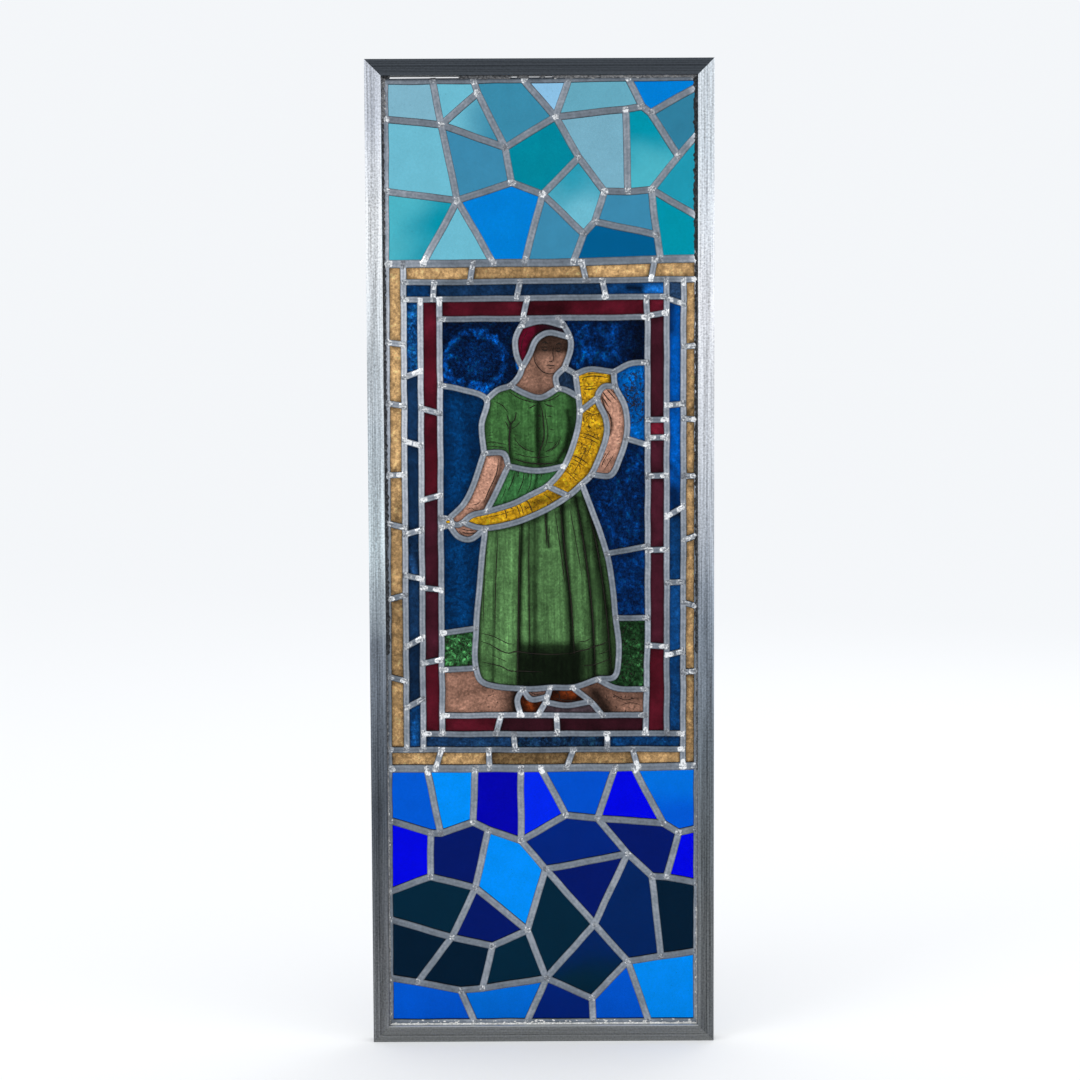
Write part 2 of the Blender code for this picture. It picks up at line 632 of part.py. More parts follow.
def main():
    clear_scene()
    window = make_collection("stained_glass_window")
    net = solder(cartoon())
    loops = cells(net)
    solid = {find_cell(loops, place) for place in LEAD_CELLS}
    glass = glass_groups(loops)
    glazed = [index for group in glass.values() for index in group]
    missing = set(range(len(loops))) - solid - set(glazed)
    if missing or len(glazed) != len(set(glazed)):
        raise ValueError(f"cells without glass of their own: {sorted(missing)}")

    for made in frame_rails():
        made.data.materials.append(material("aluminium", ALUMINIUM, 0.38, metallic=1.0))
        window.objects.link(made)
    panel = bpy.data.objects.new("leaded_panel", None)
    panel.location.z = HEIGHT
    window.objects.link(panel)
    cames = lead_net(net, loops, glass)
    cames.data.materials.append(material("lead", LEAD, 0.55, metallic=1.0))
    cames.parent = panel
    window.objects.link(cames)
    for name, group in glass.items():
        rim = outline([loops[index] for index in group])
        made = pane(name, inset(rim, net, GLASS_EDGE))
        made.data.materials.append(material(name, glass_colour(name), 0.08, transmission=1.0))
        made.parent = panel
        window.objects.link(made)
    print("cells", len(loops), "glass nodes", len(glass), "pieces of glass", len(glazed))


main()
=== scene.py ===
# %% [markdown]
# # A leaded stained glass window
#
# A panel of leaded glass in a narrow aluminium frame: a mosaic of pale blues on top, a painted
# figure with a horn inside three border strips in the middle, and a mosaic of deep blues below.
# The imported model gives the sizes. It is loaded first and stays as it is. Each piece of lead, glass
# and frame made here stands for one of its solids, and the solder and the cement are added to them.

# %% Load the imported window
import json
import math
import random

import bmesh
import bpy
import numpy as np
from mathutils import Matrix, Vector, kdtree, noise
from mathutils.geometry import delaunay_2d_cdt


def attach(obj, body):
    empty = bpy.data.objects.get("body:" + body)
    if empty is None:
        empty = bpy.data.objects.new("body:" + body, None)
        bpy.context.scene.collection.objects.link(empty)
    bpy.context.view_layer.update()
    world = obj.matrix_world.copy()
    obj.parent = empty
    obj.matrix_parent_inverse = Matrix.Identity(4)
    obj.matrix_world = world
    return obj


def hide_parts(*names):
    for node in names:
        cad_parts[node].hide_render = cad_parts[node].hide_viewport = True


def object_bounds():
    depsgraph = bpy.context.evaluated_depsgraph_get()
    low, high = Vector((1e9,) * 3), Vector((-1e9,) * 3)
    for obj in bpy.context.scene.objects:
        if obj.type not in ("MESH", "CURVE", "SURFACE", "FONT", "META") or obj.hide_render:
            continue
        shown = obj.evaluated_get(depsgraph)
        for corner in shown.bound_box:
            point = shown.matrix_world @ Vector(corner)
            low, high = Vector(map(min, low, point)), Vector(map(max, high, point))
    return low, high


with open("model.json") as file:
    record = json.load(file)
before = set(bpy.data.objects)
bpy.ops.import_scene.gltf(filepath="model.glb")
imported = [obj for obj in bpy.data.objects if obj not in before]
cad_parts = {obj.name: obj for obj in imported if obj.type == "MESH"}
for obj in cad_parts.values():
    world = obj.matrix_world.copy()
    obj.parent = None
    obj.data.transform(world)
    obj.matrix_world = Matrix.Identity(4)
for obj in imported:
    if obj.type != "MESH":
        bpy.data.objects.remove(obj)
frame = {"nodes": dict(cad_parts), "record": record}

cad_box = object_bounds()
cad_size = [round(1000 * side) for side in cad_box[1] - cad_box[0]]
print("nodes", len(frame["nodes"]), "size in mm", cad_size)

# %% [markdown]
# ## The eye
#
# The photograph was taken about 2.5 m away and a little above the middle of the window, so the
# frame narrows slightly downwards. These numbers come from fitting the frame's eight corners.
# A long lens from far off and a short lens from near by can frame the same object, but only one
# distance gives the right narrowing, which is why the distance is found first and the lens after.

# %% Set up the camera
EYE = (-0.0068, -2.5, 0.7145)
PAN, TILT, ROLL = (math.radians(turn) for turn in (-0.122, -4.517, -0.261))
LENS, SENSOR = 82.2, 36
eye = bpy.data.objects.new("eye", bpy.data.cameras.new("eye"))
eye.matrix_world = (Matrix.Translation(EYE) @ Matrix.Rotation(PAN, 4, "Z")
                    @ Matrix.Rotation(math.pi / 2 + TILT, 4, "X") @ Matrix.Rotation(ROLL, 4, "Z"))
eye.data.lens = LENS
eye.data.sensor_width = SENSOR
bpy.context.scene.collection.objects.link(eye)
bpy.context.scene.camera = eye
bpy.context.scene.view_settings.view_transform = "Standard"
print("lens", LENS, "mm, eye at", EYE)

# %% [markdown]
# ## Floor and light
#
# Stained glass is seen by the light that comes through it, so what matters most is a bright, even
# white behind the window. One lamp behind the glass would leave hot spots. A white room does
# better: the floor gives off just enough light of its own to be as bright as the air above it, and
# the line where the two meet disappears. Two large soft lamps in front model the lead and frame.

# %% Lay the floor and light the room
ROOM_WHITE = (0.905, 0.925, 0.95)
FLOOR_SHARE = 0.8
FLOOR_REACH = 60


def plain_shader(name):
    made = bpy.data.materials.new(name)
    made.use_nodes = True
    return made, made.node_tree, made.node_tree.nodes["Principled BSDF"]


room = bpy.data.worlds.new("room")
room.use_nodes = True
room.node_tree.nodes["Background"].inputs["Color"].default_value = (*ROOM_WHITE, 1)
bpy.context.scene.world = room
floor_finish, _, shader = plain_shader("pale_floor")
shader.inputs["Base Color"].default_value = (FLOOR_SHARE,) * 3 + (1,)
shader.inputs["Roughness"].default_value = 0.9
shader.inputs["Specular IOR Level"].default_value = 0
shader.inputs["Emission Color"].default_value = (*ROOM_WHITE, 1)
shader.inputs["Emission Strength"].default_value = 1 - FLOOR_SHARE
bpy.ops.mesh.primitive_circle_add(vertices=96, radius=FLOOR_REACH, fill_type="NGON")
floor = bpy.context.object
floor.name = "floor"
floor.data.materials.append(floor_finish)


def soft_lamp(name, place, aim, size, power):
    lamp = bpy.data.lights.new(name, "AREA")
    lamp.size = size
    lamp.energy = power
    stand = bpy.data.objects.new(name, lamp)
    stand.location = place
    stand.rotation_euler = (Vector(aim) - Vector(place)).to_track_quat("-Z", "Y").to_euler()
    bpy.context.scene.collection.objects.link(stand)


soft_lamp("key_lamp", (-1.9, -1.9, 2.3), (0, 0, 0.55), 1.3, 14)
soft_lamp("fill_lamp", (2.2, -1.4, 1.5), (0, 0, 0.5), 1.3, 6)
soft_lamp("back_lamp", (1.2, 2.2, 2.2), (0, 0, 0.6), 1.3, 8)

# %% [markdown]
# ## The cartoon
#
# A glazier draws every lead line at full size before cutting any glass. That drawing is called the
# cartoon. Here a place on it is (x, drop): millimetres right of the middle, and down from the
# frame's top edge. The border lines run the whole way, and short cames cross the strips between
# them.

# %% Draw the border lines
BORDER_CAME, MOSAIC_CAME, DIVIDER_CAME, RING_CAME = 3.15, 3.6, 4.1, 2.2
PANEL_EDGE = [(-164, 18.9), (164, 17.2), (164, 991.2), (-164, 991.2)]
LINES = {
    "top": [(-154.5, 21.8), (159, 18.8)],
    "bottom": [(-157.8, 981.2), (157.4, 981.6)],
    "left": [(-154.5, 21.8), (-157.8, 981.2)],
    "right": [(159, 18.8), (157.4, 981.6)],
    "upper_divider": [(-155.1, 203.3), (30, 202.6), (158.7, 198.8)],
    "lower_divider": [(-156.9, 717.2), (100, 716.8), (157.8, 715.3)],
    "amber_left": [(-138.1, 203.1), (-138.7, 697.8)],
    "blue_left": [(-121.2, 239.1), (-121.8, 697.8)],
    "red_left": [(-102, 239), (-102.2, 681.7)],
    "red_right": [(107, 237.5), (108.1, 262), (108, 570), (105.6, 681.7)],
    "blue_right": [(127.4, 220.4), (127.3, 681.7)],
    "amber_right": [(144.5, 220.1), (143.9, 715.7)],
    "amber_top": [(-138.1, 222), (158.7, 219.8)],
    "blue_top": [(-138.2, 239.2), (127.4, 237.2)],
    "red_top": [(-102, 259.3), (108, 257.8)],
    "red_bottom": [(-102.2, 662.3), (106.2, 662.8)],
    "blue_bottom": [(-121.8, 681.5), (144, 681.9)],
    "amber_bottom": [(-156.8, 697.6), (144, 698)],
}
UPRIGHT_CROSSES = [
    ("left", "amber_left",
     [(282, 284), (343.8, 346.3), (416, 416), (465.6, 469.6), (542.7, 538.2), (622, 627)]),
    ("amber_left", "blue_left",
     [(317.5, 311.2), (381.9, 386.6), (476.6, 472), (518.4, 521.9), (591.5, 582), (654.5, 645.2)]),
    ("blue_left", "red_left", [(348.8, 354), (442, 436.8), (531, 533.4), (608.8, 604.7)]),
    ("red_right", "blue_right",
     [(256.5, 252.7), (361.5, 361), (379.5, 379), (418.3, 417.7), (493.5, 493), (591, 592.4)]),
    ("blue_right", "amber_right",
     [(238.8, 244.6), (346.5, 345.3), (459.3, 450.1), (526.5, 526), (601, 597)]),
    ("amber_right", "right",
     [(288, 286.7), (360.3, 361.3), (418.7, 418.5), (483.6, 478.5), (547.5, 551.6), (618.6, 618)]),
]
LEVEL_CROSSES = [
    ("upper_divider", "amber_top", [(-68, -71), (42, 46), (115, 111.6)]),
    ("amber_top", "blue_top", [(-107.2, -108.3), (-20.5, -24), (62, 66)]),
    ("blue_top", "red_top", [(-13, -18)]),
    ("red_bottom", "blue_bottom", [(-41.9, -47.3), (14.2, 15.3)]),
    ("blue_bottom", "amber_bottom", [(-29.4, -27.7), (66.4, 66.4)]),
    ("amber_bottom", "lower_divider", [(-103.2, -109.3), (-55, -54.2), (31.5, 25), (92.3, 97)]),
]
print("lines", len(LINES), "crosses", sum(len(row[2]) for row in UPRIGHT_CROSSES + LEVEL_CROSSES))

# %% [markdown]
# The two mosaics have no pattern that repeats. Each is a set of named joints, and cames that run
# straight from joint to joint.

# %% Draw the two mosaics
UPPER_JOINTS = {
    "t1": (-107, 21.4), "t2": (-66, 21), "t3": (-16, 20.5), "t4": (29.5, 20), "t5": (89, 19.5),
    "l1": (-154.6, 59), "l2": (-154.9, 131), "r1": (159, 27.5), "r2": (159, 75), "r3": (158.8, 157),
    "b1": (-118, 203.1), "b2": (-47, 203), "b3": (-16, 202.9), "b4": (33, 202.7), "b5": (121, 200),
    "a": (-99, 64.5), "b": (-62, 33), "c": (-35, 87.5), "d": (16, 57.5), "e": (-83, 140),
    "f": (-28.5, 122.5), "g": (2.5, 134), "h": (39.5, 98), "i": (65, 132), "j": (44, 174),
    "k": (103, 47), "m": (111, 53.5), "n": (139, 97), "o": (86.5, 50), "p": (112, 130),
    "q": (117.5, 175), "s": (55, 162), "u": (88.5, 132),
}
UPPER_CAMES = [
    "l1 a b c d o k m n p q b5", "t1 a e b1", "t2 b", "t3 d t4", "t5 k", "m r1", "n r2", "p r3",
    "a c f e l2", "f g h d", "h i s j g b3", "j b4", "e b2", "o u i", "u p", "s q",
]
LOWER_JOINTS = {
    "t1": (-118.5, 717), "t2": (-69, 717), "t3": (-22.3, 717), "t4": (-2, 717), "t5": (74, 717),
    "t6": (93, 717), "l1": (-157.1, 770.8), "l2": (-157.3, 844.6), "l3": (-157.4, 873.5),
    "l4": (-157.6, 934.8), "r1": (157.7, 780.3), "r2": (157.6, 837), "r3": (157.5, 908.4),
    "b1": (-71.5, 981.4), "b2": (-17, 981.4), "b3": (51, 981.4), "b4": (108.5, 981.4),
    "a": (-115, 783.8), "b": (-104.8, 784.2), "c": (-71.2, 773.2), "d": (-56, 780.8),
    "e": (-22, 792.4), "f": (24.2, 765.6), "g": (56, 769.2), "h": (123.4, 775), "i": (139.4, 784.9),
    "j": (-115.2, 829.2), "k": (-69.2, 840.9), "m": (2.7, 821.9), "n": (87, 806.4),
    "o": (112, 829.7), "p": (126.8, 830.4), "q": (-16.4, 885.6), "s": (52.7, 879.8),
    "u": (-94.2, 892.5), "v": (-52.2, 902), "w": (-129.4, 939.5), "x": (-85.3, 948.4),
    "y": (-62.7, 946.3), "z": (3, 935.8), "za": (86.6, 918.8), "zb": (121.2, 913.5),
    "zc": (50, 957.4),
}
LOWER_CAMES = [
    "l1 a b c d e f g h i r1", "t1 b", "t2 c", "t3 e", "t4 f", "t5 g", "t6 h", "a j", "l2 j k q v u l3",
    "d k u w", "e m s za", "m n", "g n o p r2", "i p", "n s z", "m q z", "o zb", "r3 zb za",
    "v y", "l4 w x y z", "x b1", "z b2", "z zc b3", "za zc", "za b4",
]
print("mosaic joints", len(UPPER_JOINTS) + len(LOWER_JOINTS))

# %% [markdown]
# In the picture the cames are bent to follow the drawing. A came is soft enough to bend by hand,
# so it takes a fair curve through its places and only turns sharply where two pieces are soldered
# together. A route that turns sharply is therefore drawn here as two.

# %% Draw the picture's cames
RING_CENTRE = (-94.4, 464.2)
RING_RADIUS = 4.2
RING_NAMES, RING_SIDES = 8, 24
PICTURE_JOINTS = {
    "hood_left": (-19.5, 266), "hood_right": (24, 266.8), "brow": (29.8, 277.8),
    "nape": (-18.4, 308.1), "cheek": (24.1, 308.2), "collar_left": (-31, 326),
    "collar_right": (17, 329.1), "shoulder": (-55, 340), "cuff": (-57.8, 394), "waist_left": (-33.2, 407.5),
    "waist_right": (23.4, 407.8), "horn_tip": (-79.2, 465), "wrist": (-55.5, 454.2),
    "horn_a": (6.3, 427.9), "horn_b": (27.5, 438), "horn_c": (39, 352.5), "armpit": (38.2, 338),
    "mouth_left": (35.4, 315), "mouth_right": (73.8, 312.5), "knuckle": (75.8, 327.5),
    "thumb": (57.3, 338.6), "elbow": (50.8, 416.5), "forearm": (86, 379.5), "hip_left": (-57.5, 470.9),
    "hip_right": (41.2, 426.1), "knee_right": (66.3, 497.3), "calf_right": (75.4, 563.3),
    "calf_left": (-67, 573), "hem_left": (-67.6, 613.5), "hem_right": (57, 625.8),
    "foot_a": (-19.5, 635.1), "foot_b": (7.7, 634), "foot_c": (31, 634),
    "instep": (5, 643.5), "heel": (3.3, 649), "toe": (49.4, 648.4),
}
PICTURE_CAMES = [
    [(-14, 259), "hood_left", (-25.4, 280), (-24.2, 296), "nape"],
    [(18.5, 258.4), "hood_right", "brow", (30.6, 288), "cheek"],
    ["hood_left", (2, 261.4), "hood_right"],
    ["nape", (-11.5, 295.5), (-4.5, 280.4), (7.5, 273.2), "brow"],
    ["nape", (-22, 316.8), "collar_left", (-43, 330), "shoulder"],
    ["cheek", (15.2, 317.5), "collar_right"],
    ["collar_left", (-17, 333.6), (0, 338), "collar_right"],
    ["cheek", "mouth_left"],
    ["mouth_left", (49, 310), "mouth_right"],
    ["collar_right", (25.5, 330.8), "armpit"],
    ["mouth_left", "armpit", "horn_c", (36.9, 370), (30.9, 391), "waist_right",
     "horn_a", (-10, 436.7), (-29.2, 445.8), "wrist", (-71, 458), "horn_tip"],
    ["mouth_right", "knuckle", (84.5, 346.5), (87.2, 363), "forearm", (80.5, 399), (70.5, 417.5), "elbow"],
    ["knuckle", (64.5, 327.2), "thumb", (66.2, 361), (66, 378), "elbow",
     "hip_right", "horn_b", (4, 452.6), (-24, 464.2), "hip_left", (-69, 469.2), "horn_tip"],
    ["horn_a", "horn_b"],
    ["horn_c", "thumb"],
    ["mouth_right", (90, 304.6), (108.1, 303.3)],
    ["forearm", (108.1, 387)],
    [(-102, 325.4), (-82, 329.2), "shoulder", (-60.2, 366), "cuff"],
    ["cuff", (-38, 395), "waist_left"],
    ["waist_left", (-4, 412.3), "waist_right"],
    ["waist_left", "wrist"],
    ["cuff", (-68, 424.5), (-79, 446.5), "ring_1"],
    [(-102, 459.3), "ring_2"],
    [(-102.1, 469), "ring_5"],
    ["ring_7", (-85, 467.4), "horn_tip"],
    ["ring_6", (-84, 479.3), (-72, 481.8), "hip_left"],
    ["hip_left", "calf_left", "hem_left", (-61.5, 628), "foot_a",
     "foot_b", "foot_c", "hem_right", (73.5, 623.4), (78.2, 605), "calf_right", "knee_right", "hip_right"],
    [(-102.2, 577.6), "calf_left"],
    [(-102.2, 615.5), "hem_left"],
    ["knee_right", (108.1, 489.6)],
    ["calf_right", (108, 562.8)],
    ["hem_right", (76, 635), (107, 636.2)],
    ["foot_a", (-25.3, 646.5), (-22, 662.5)],
    ["foot_a", (-12, 645.6), "instep"],
    ["foot_b", "instep", "heel", (-4.2, 662.5)],
    ["heel", (24, 652.3), "toe"],
    ["foot_c", "toe", (61.5, 662.7)],
]
LEAD_CELLS = [(2, 260.4), (-99.8, 464.2)]
print("picture cames", len(PICTURE_CAMES))

# %% [markdown]
# A fair curve through given places can be a Bezier with handles set by hand, or a spline that
# works its handles out. The second suits a table of places. This one is a Catmull-Rom spline,
# paced by the root of the distance so that it never loops where two places are close together.

# %% Bend the cames
STEP_STRAIGHT, STEP_CURVED = 4.5, 2.4
WOBBLE, WOBBLE_LENGTH = 0.28, 26.0
SIDEWAYS_SEED, DOWNWARDS_SEED = 0.0, 40.5


def between(a, b, share):
    return (a[0] + share * (b[0] - a[0]), a[1] + share * (b[1] - a[1]))


def fair_curve(places, step):
    """Places every step or so on a smooth line through the given ones, which stay as they are."""
    before = between(places[1], places[0], 2)
    after = between(places[-2], places[-1], 2)
    walk = [before, *places, after]
    made = [places[0]]
    for p0, p1, p2, p3 in zip(walk, walk[1:], walk[2:], walk[3:]):
        t1 = math.dist(p0, p1) ** 0.5
        t2 = t1 + math.dist(p1, p2) ** 0.5
        t3 = t2 + math.dist(p2, p3) ** 0.5
        count = max(1, round(math.dist(p1, p2) / step))
        for index in range(1, count):
            t = t1 + (t2 - t1) * index / count
            a = between(p0, p1, t / t1)
            b = between(p1, p2, (t - t1) / (t2 - t1))
            c = between(p2, p3, (t - t2) / (t3 - t2))
            d = between(a, b, t / t2)
            e = between(b, c, (t - t1) / (t3 - t1))
            made.append(between(d, e, (t - t1) / (t2 - t1)))
        made.append(p2)
    return made


def straight_run(places, step):
    made = [places[0]]
    for a, b in zip(places, places[1:]):
        count = max(1, round(math.dist(a, b) / step))
        made += [between(a, b, index / count) for index in range(1, count)] + [b]
    return made


def by_hand(place):
    """A place moved a little, smoothly, as a hand moves a came when it sets it."""
    x, drop = place
    sideways = noise.noise((x / WOBBLE_LENGTH, drop / WOBBLE_LENGTH, SIDEWAYS_SEED))
    downwards = noise.noise((x / WOBBLE_LENGTH, drop / WOBBLE_LENGTH, DOWNWARDS_SEED))
    return (x + 2 * WOBBLE * sideways, drop + 2 * WOBBLE * downwards)


sample = fair_curve([(0, 0), (10, 8), (25, 5)], STEP_CURVED)
print("a bent came of three places has", len(sample))

# %% [markdown]
# ## Solder the net
#
# Real cames are cut to length and soldered where they touch. The drawing is joined the same way:
# each end goes to the nearest line, and that line gets a joint there. The net that comes out is
# what the cells, the glass and the lead are all made from, so they can't disagree.

# %% Solder the drawing into one net
SOLDER_REACH, SAME_PLACE, TOO_FAR = 2.5, 0.4, 8


def place_on(line, value, axis):
    """The place on a line where its x (axis 0) or its drop (axis 1) has a value."""
    for start, end in zip(line, line[1:]):
        low, high = sorted((start[axis], end[axis]))
        if low <= value <= high:
            return between(start, end, (value - start[axis]) / (end[axis] - start[axis]))
    raise ValueError(f"the line does not reach {value}")


def cartoon():
    """Every lead line as (places, half width), bent and set by hand."""
    cames = []
    for name, places in LINES.items():
        half = DIVIDER_CAME if "divider" in name else BORDER_CAME
        cames.append((straight_run(places, STEP_STRAIGHT), half))
    for table, axis in ((UPRIGHT_CROSSES, 1), (LEVEL_CROSSES, 0)):
        for first, second, ends in table:
            for one, two in ends:
                run = [place_on(LINES[first], one, axis), place_on(LINES[second], two, axis)]
                cames.append((straight_run(run, STEP_STRAIGHT), BORDER_CAME))
    for joints, routes in ((UPPER_JOINTS, UPPER_CAMES), (LOWER_JOINTS, LOWER_CAMES)):
        for route in routes:
            run = [joints[name] for name in route.split()]
            cames.append((straight_run(run, STEP_STRAIGHT), MOSAIC_CAME))
    joints = dict(PICTURE_JOINTS)
    ring = []
    for side in range(RING_SIDES):
        turn = math.tau * (side + 0.5) / RING_SIDES
        ring.append((RING_CENTRE[0] + RING_RADIUS * math.cos(turn),
                     RING_CENTRE[1] - RING_RADIUS * math.sin(turn)))
    for number in range(RING_NAMES):
        joints[f"ring_{number}"] = ring[RING_SIDES // RING_NAMES * number + 1]
    cames.append((ring + ring[:1], RING_CAME))
    for route in PICTURE_CAMES:
        places = [joints.get(stop, stop) for stop in route]
        cames.append((fair_curve(places, STEP_CURVED), BORDER_CAME))
    return [([by_hand(place) for place in places], half) for places, half in cames]


def nearest_on(place, start, end):
    """The share along a straight stretch that is nearest to a place, and how far off it is."""
    dx, dy = end[0] - start[0], end[1] - start[1]
    share = ((place[0] - start[0]) * dx + (place[1] - start[1]) * dy) / (dx * dx + dy * dy)
    share = min(1.0, max(0.0, share))
    return share, math.dist(place, (start[0] + share * dx, start[1] + share * dy))


def nearest_stretch(place, own, routes):
    """The nearest stretch of another came within reach: (gap, came, stretch, share along it)."""
    best = None
    x, drop = place
    for other, (track, _) in enumerate(routes):
        if other == own:
            continue
        for at, (a, b) in enumerate(zip(track, track[1:])):
            across = min(abs(x - a[0]), abs(x - b[0]))
            down = min(abs(drop - a[1]), abs(drop - b[1]))
            if max(across, down) > TOO_FAR:
                continue
            share, gap = nearest_on(place, a, b)
            if gap < SOLDER_REACH and (best is None or gap < best[0] - 1e-6):
                best = (gap, other, at, share)
    return best


def solder(routes):
    """Set each came's ends on the line that they meet, and part that line there.

    Gives the net as {(place, place): half width}, with each stretch both ways.
    """
    for index, (places, _) in enumerate(routes):
        for end in (0, -1):
            best = nearest_stretch(places[end], index, routes)
            if best is None:
                continue
            _, other, at, share = best
            track = routes[other][0]
            a, b = track[at], track[at + 1]
            met = between(a, b, share)
            if math.dist(met, a) < SAME_PLACE:
                met = a
            elif math.dist(met, b) < SAME_PLACE:
                met = b
            else:
                track.insert(at + 1, met)
            places[end] = met
    net = {}
    for places, half in routes:
        for a, b in zip(places, places[1:]):
            net[(a, b)] = half
            net[(b, a)] = half
    return net


net = solder(cartoon())
arms = {}
for a, b in net:
    arms.setdefault(a, []).append(b)
JOINTS = [place for place, others in arms.items() if len(others) > 2]

# %% [markdown]
# ## Find the cells
#
# Walking along the net and always taking the next stretch on one side goes round a single cell and
# comes back. Doing that until every stretch is used gives each opening of the window once, and one
# walk round the outside.

# %% Walk round every cell
def area(loop):
    """Twice the area, positive where the loop runs counterclockwise seen from the front."""
    return sum(b[0] * a[1] - a[0] * b[1] for a, b in zip(loop, loop[1:] + loop[:1]))


def walk_cells():
    for place, others in arms.items():
        others.sort(key=lambda other: math.atan2(place[1] - other[1], other[0] - place[0]))
    unused = set(net)
    loops = []
    while unused:
        step = min(unused)
        loop = []
        while step in unused:
            unused.remove(step)
            loop.append(step[0])
            a, b = step
            step = (b, arms[b][arms[b].index(a) - 1])
        loops.append(loop)
    return loops


def holds(loop, place):
    inside = False
    for a, b in zip(loop, loop[1:] + loop[:1]):
        if (a[1] > place[1]) != (b[1] > place[1]):
            if place[0] < a[0] + (place[1] - a[1]) / (b[1] - a[1]) * (b[0] - a[0]):
                inside = not inside
    return inside


every_loop = walk_cells()
rim_loop = min(every_loop, key=area)
LOOPS = [loop for loop in every_loop if area(loop) > 0]


def find_cell(place):
    for index, loop in enumerate(LOOPS):
        if holds(loop, place):
            return index
    raise ValueError(f"no cell at {place}")


solid_cells = {find_cell(place) for place in LEAD_CELLS}
print("cells", len(LOOPS), "of them solid lead", len(solid_cells))

# %% [markdown]
# The opening that shows daylight is the cell moved inwards by half a came's width, side by side.
# In a tight curve some short sides vanish, and their neighbours meet instead. Each corner of the
# opening keeps the places of the centre line that belong to it, and the lead is stretched between
# the two later.

# %% Move outlines inwards
SHALLOW = math.radians(2)
SHORTEST_SIDE = 0.3


def meet(first, second):
    """Where two sides (place, direction, number) cross, or the second's place if they hardly bend."""
    (a, one, _), (b, two, _) = first, second
    cross = one[0] * two[1] - one[1] * two[0]
    if abs(cross) < math.sin(SHALLOW):
        return b
    share = ((b[0] - a[0]) * two[1] - (b[1] - a[1]) * two[0]) / cross
    return (a[0] + share * one[0], a[1] + share * one[1])


def inset(loop, distance=None):
    """A loop moved inwards, by a distance or by half widths, and the numbers of the sides it keeps."""
    sides = []
    for index, a in enumerate(loop):
        b = loop[(index + 1) % len(loop)]
        gap = distance or net[(a, b)]
        length = math.dist(a, b)
        along = ((b[0] - a[0]) / length, (b[1] - a[1]) / length)
        sides.append(((a[0] + along[1] * gap, a[1] - along[0] * gap), along, index))
    while True:
        moved = [meet(sides[i - 1], sides[i]) for i in range(len(sides))]
        lengths = []
        for a, b, (_, along, _) in zip(moved, moved[1:] + moved[:1], sides):
            lengths.append((b[0] - a[0]) * along[0] + (b[1] - a[1]) * along[1])
        shortest = min(lengths)
        if shortest > SHORTEST_SIDE:
            return moved, [side[2] for side in sides]
        del sides[lengths.index(shortest)]


def stations(loop):
    """Pairs (place on the centre line, place on the daylight's edge) all the way round a cell."""
    moved, kept = inset(loop)
    pairs = []
    for i, corner in enumerate(moved):
        at = kept[i - 1]
        while at != kept[i]:
            at = (at + 1) % len(loop)
            pairs.append((loop[at], corner))
    return pairs


collars = {index: stations(loop) for index, loop in enumerate(LOOPS) if index not in solid_cells}
print("stations", sum(len(pairs) for pairs in collars.values()))

# %% [markdown]
# ## The lead
#
# A came has the section of an H on its side: two flanges that hold the glass and a heart between
# them. A curve with a bevel would give round bars that cut through each other at every joint.
# Here each cell instead gets a collar, half a came wide, that is stretched from the middle of the
# lead over the flange's rounded face, under it and along the heart to the other side. Neighbours
# share their middle line, so the welded collars are one closed body with true mitres.

# %% Shape the lead
MM = 0.001
HEIGHT = 1000.0
HEART_HALF = 0.8
LEAD_BELLY, LEAD_LIP = 2.95, 1.75
FLANGE = [(0.0, LEAD_BELLY), (0.58, 2.86), (0.9, 2.5), (1.0, 2.05), (0.97, LEAD_LIP)]
RIM_FLANGE = [(0.0, LEAD_BELLY), (0.3, 2.86), (0.55, 2.5), (1.0, 2.3)]


def to_world(x, depth, drop):
    return (x * MM, depth * MM, (HEIGHT - drop) * MM)


def shade_smooth(mesh, sharp=None):
    """Round off the shading of a mesh, but not over edges that bend more than sharp degrees."""
    mesh.polygons.foreach_set("use_smooth", [True] * len(mesh.polygons))
    if sharp is not None:
        mesh.set_sharp_from_angle(angle=math.radians(sharp))


def make_piece(name, places, faces, finishes, nodes, smooth=None):
    """A mesh from places (x, depth, drop) in mm that rides on the frame and stands for nodes."""
    mesh = bpy.data.meshes.new(name)
    mesh.from_pydata([to_world(*place) for place in places], [], faces)
    for finish in finishes:
        mesh.materials.append(finish)
    piece = bpy.data.objects.new(name, mesh)
    bpy.context.scene.collection.objects.link(piece)
    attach(piece, "root")
    if nodes:
        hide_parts(*nodes)
    if smooth is not None:
        shade_smooth(mesh, smooth)
    return piece


def weld(piece, distance=0.0001):
    """Join places that lie together, and turn every face outwards."""
    shape = bmesh.new()
    shape.from_mesh(piece.data)
    bmesh.ops.remove_doubles(shape, verts=shape.verts, dist=distance * MM)
    bmesh.ops.recalc_face_normals(shape, faces=shape.faces)
    shape.to_mesh(piece.data)
    shape.free()
    return piece


def skin(faces, start, rings, count, capped=False):
    """Faces from ring to ring of count places each, the first at start, with or without the ends."""
    for ring in range(rings - 1):
        for at in range(count):
            a = start + ring * count + at
            b = start + ring * count + (at + 1) % count
            faces.append((a, b, b + count, a + count))
    if capped:
        end = start + rings * count
        faces.append(tuple(range(start, start + count)))
        faces.append(tuple(range(end - 1, end - count - 1, -1)))


def lay_rows(places, faces, pairs, rows):
    """A collar: one ring of places for each (share of the way to the daylight, depth), front to back."""
    start = len(places)
    mirrored = [(share, -depth) for share, depth in reversed(rows)]
    for share, depth in rows + mirrored:
        for centre, edge in pairs:
            x, drop = between(centre, edge, share)
            places.append((x, -depth, drop))
    skin(faces, start, 2 * len(rows), len(pairs))


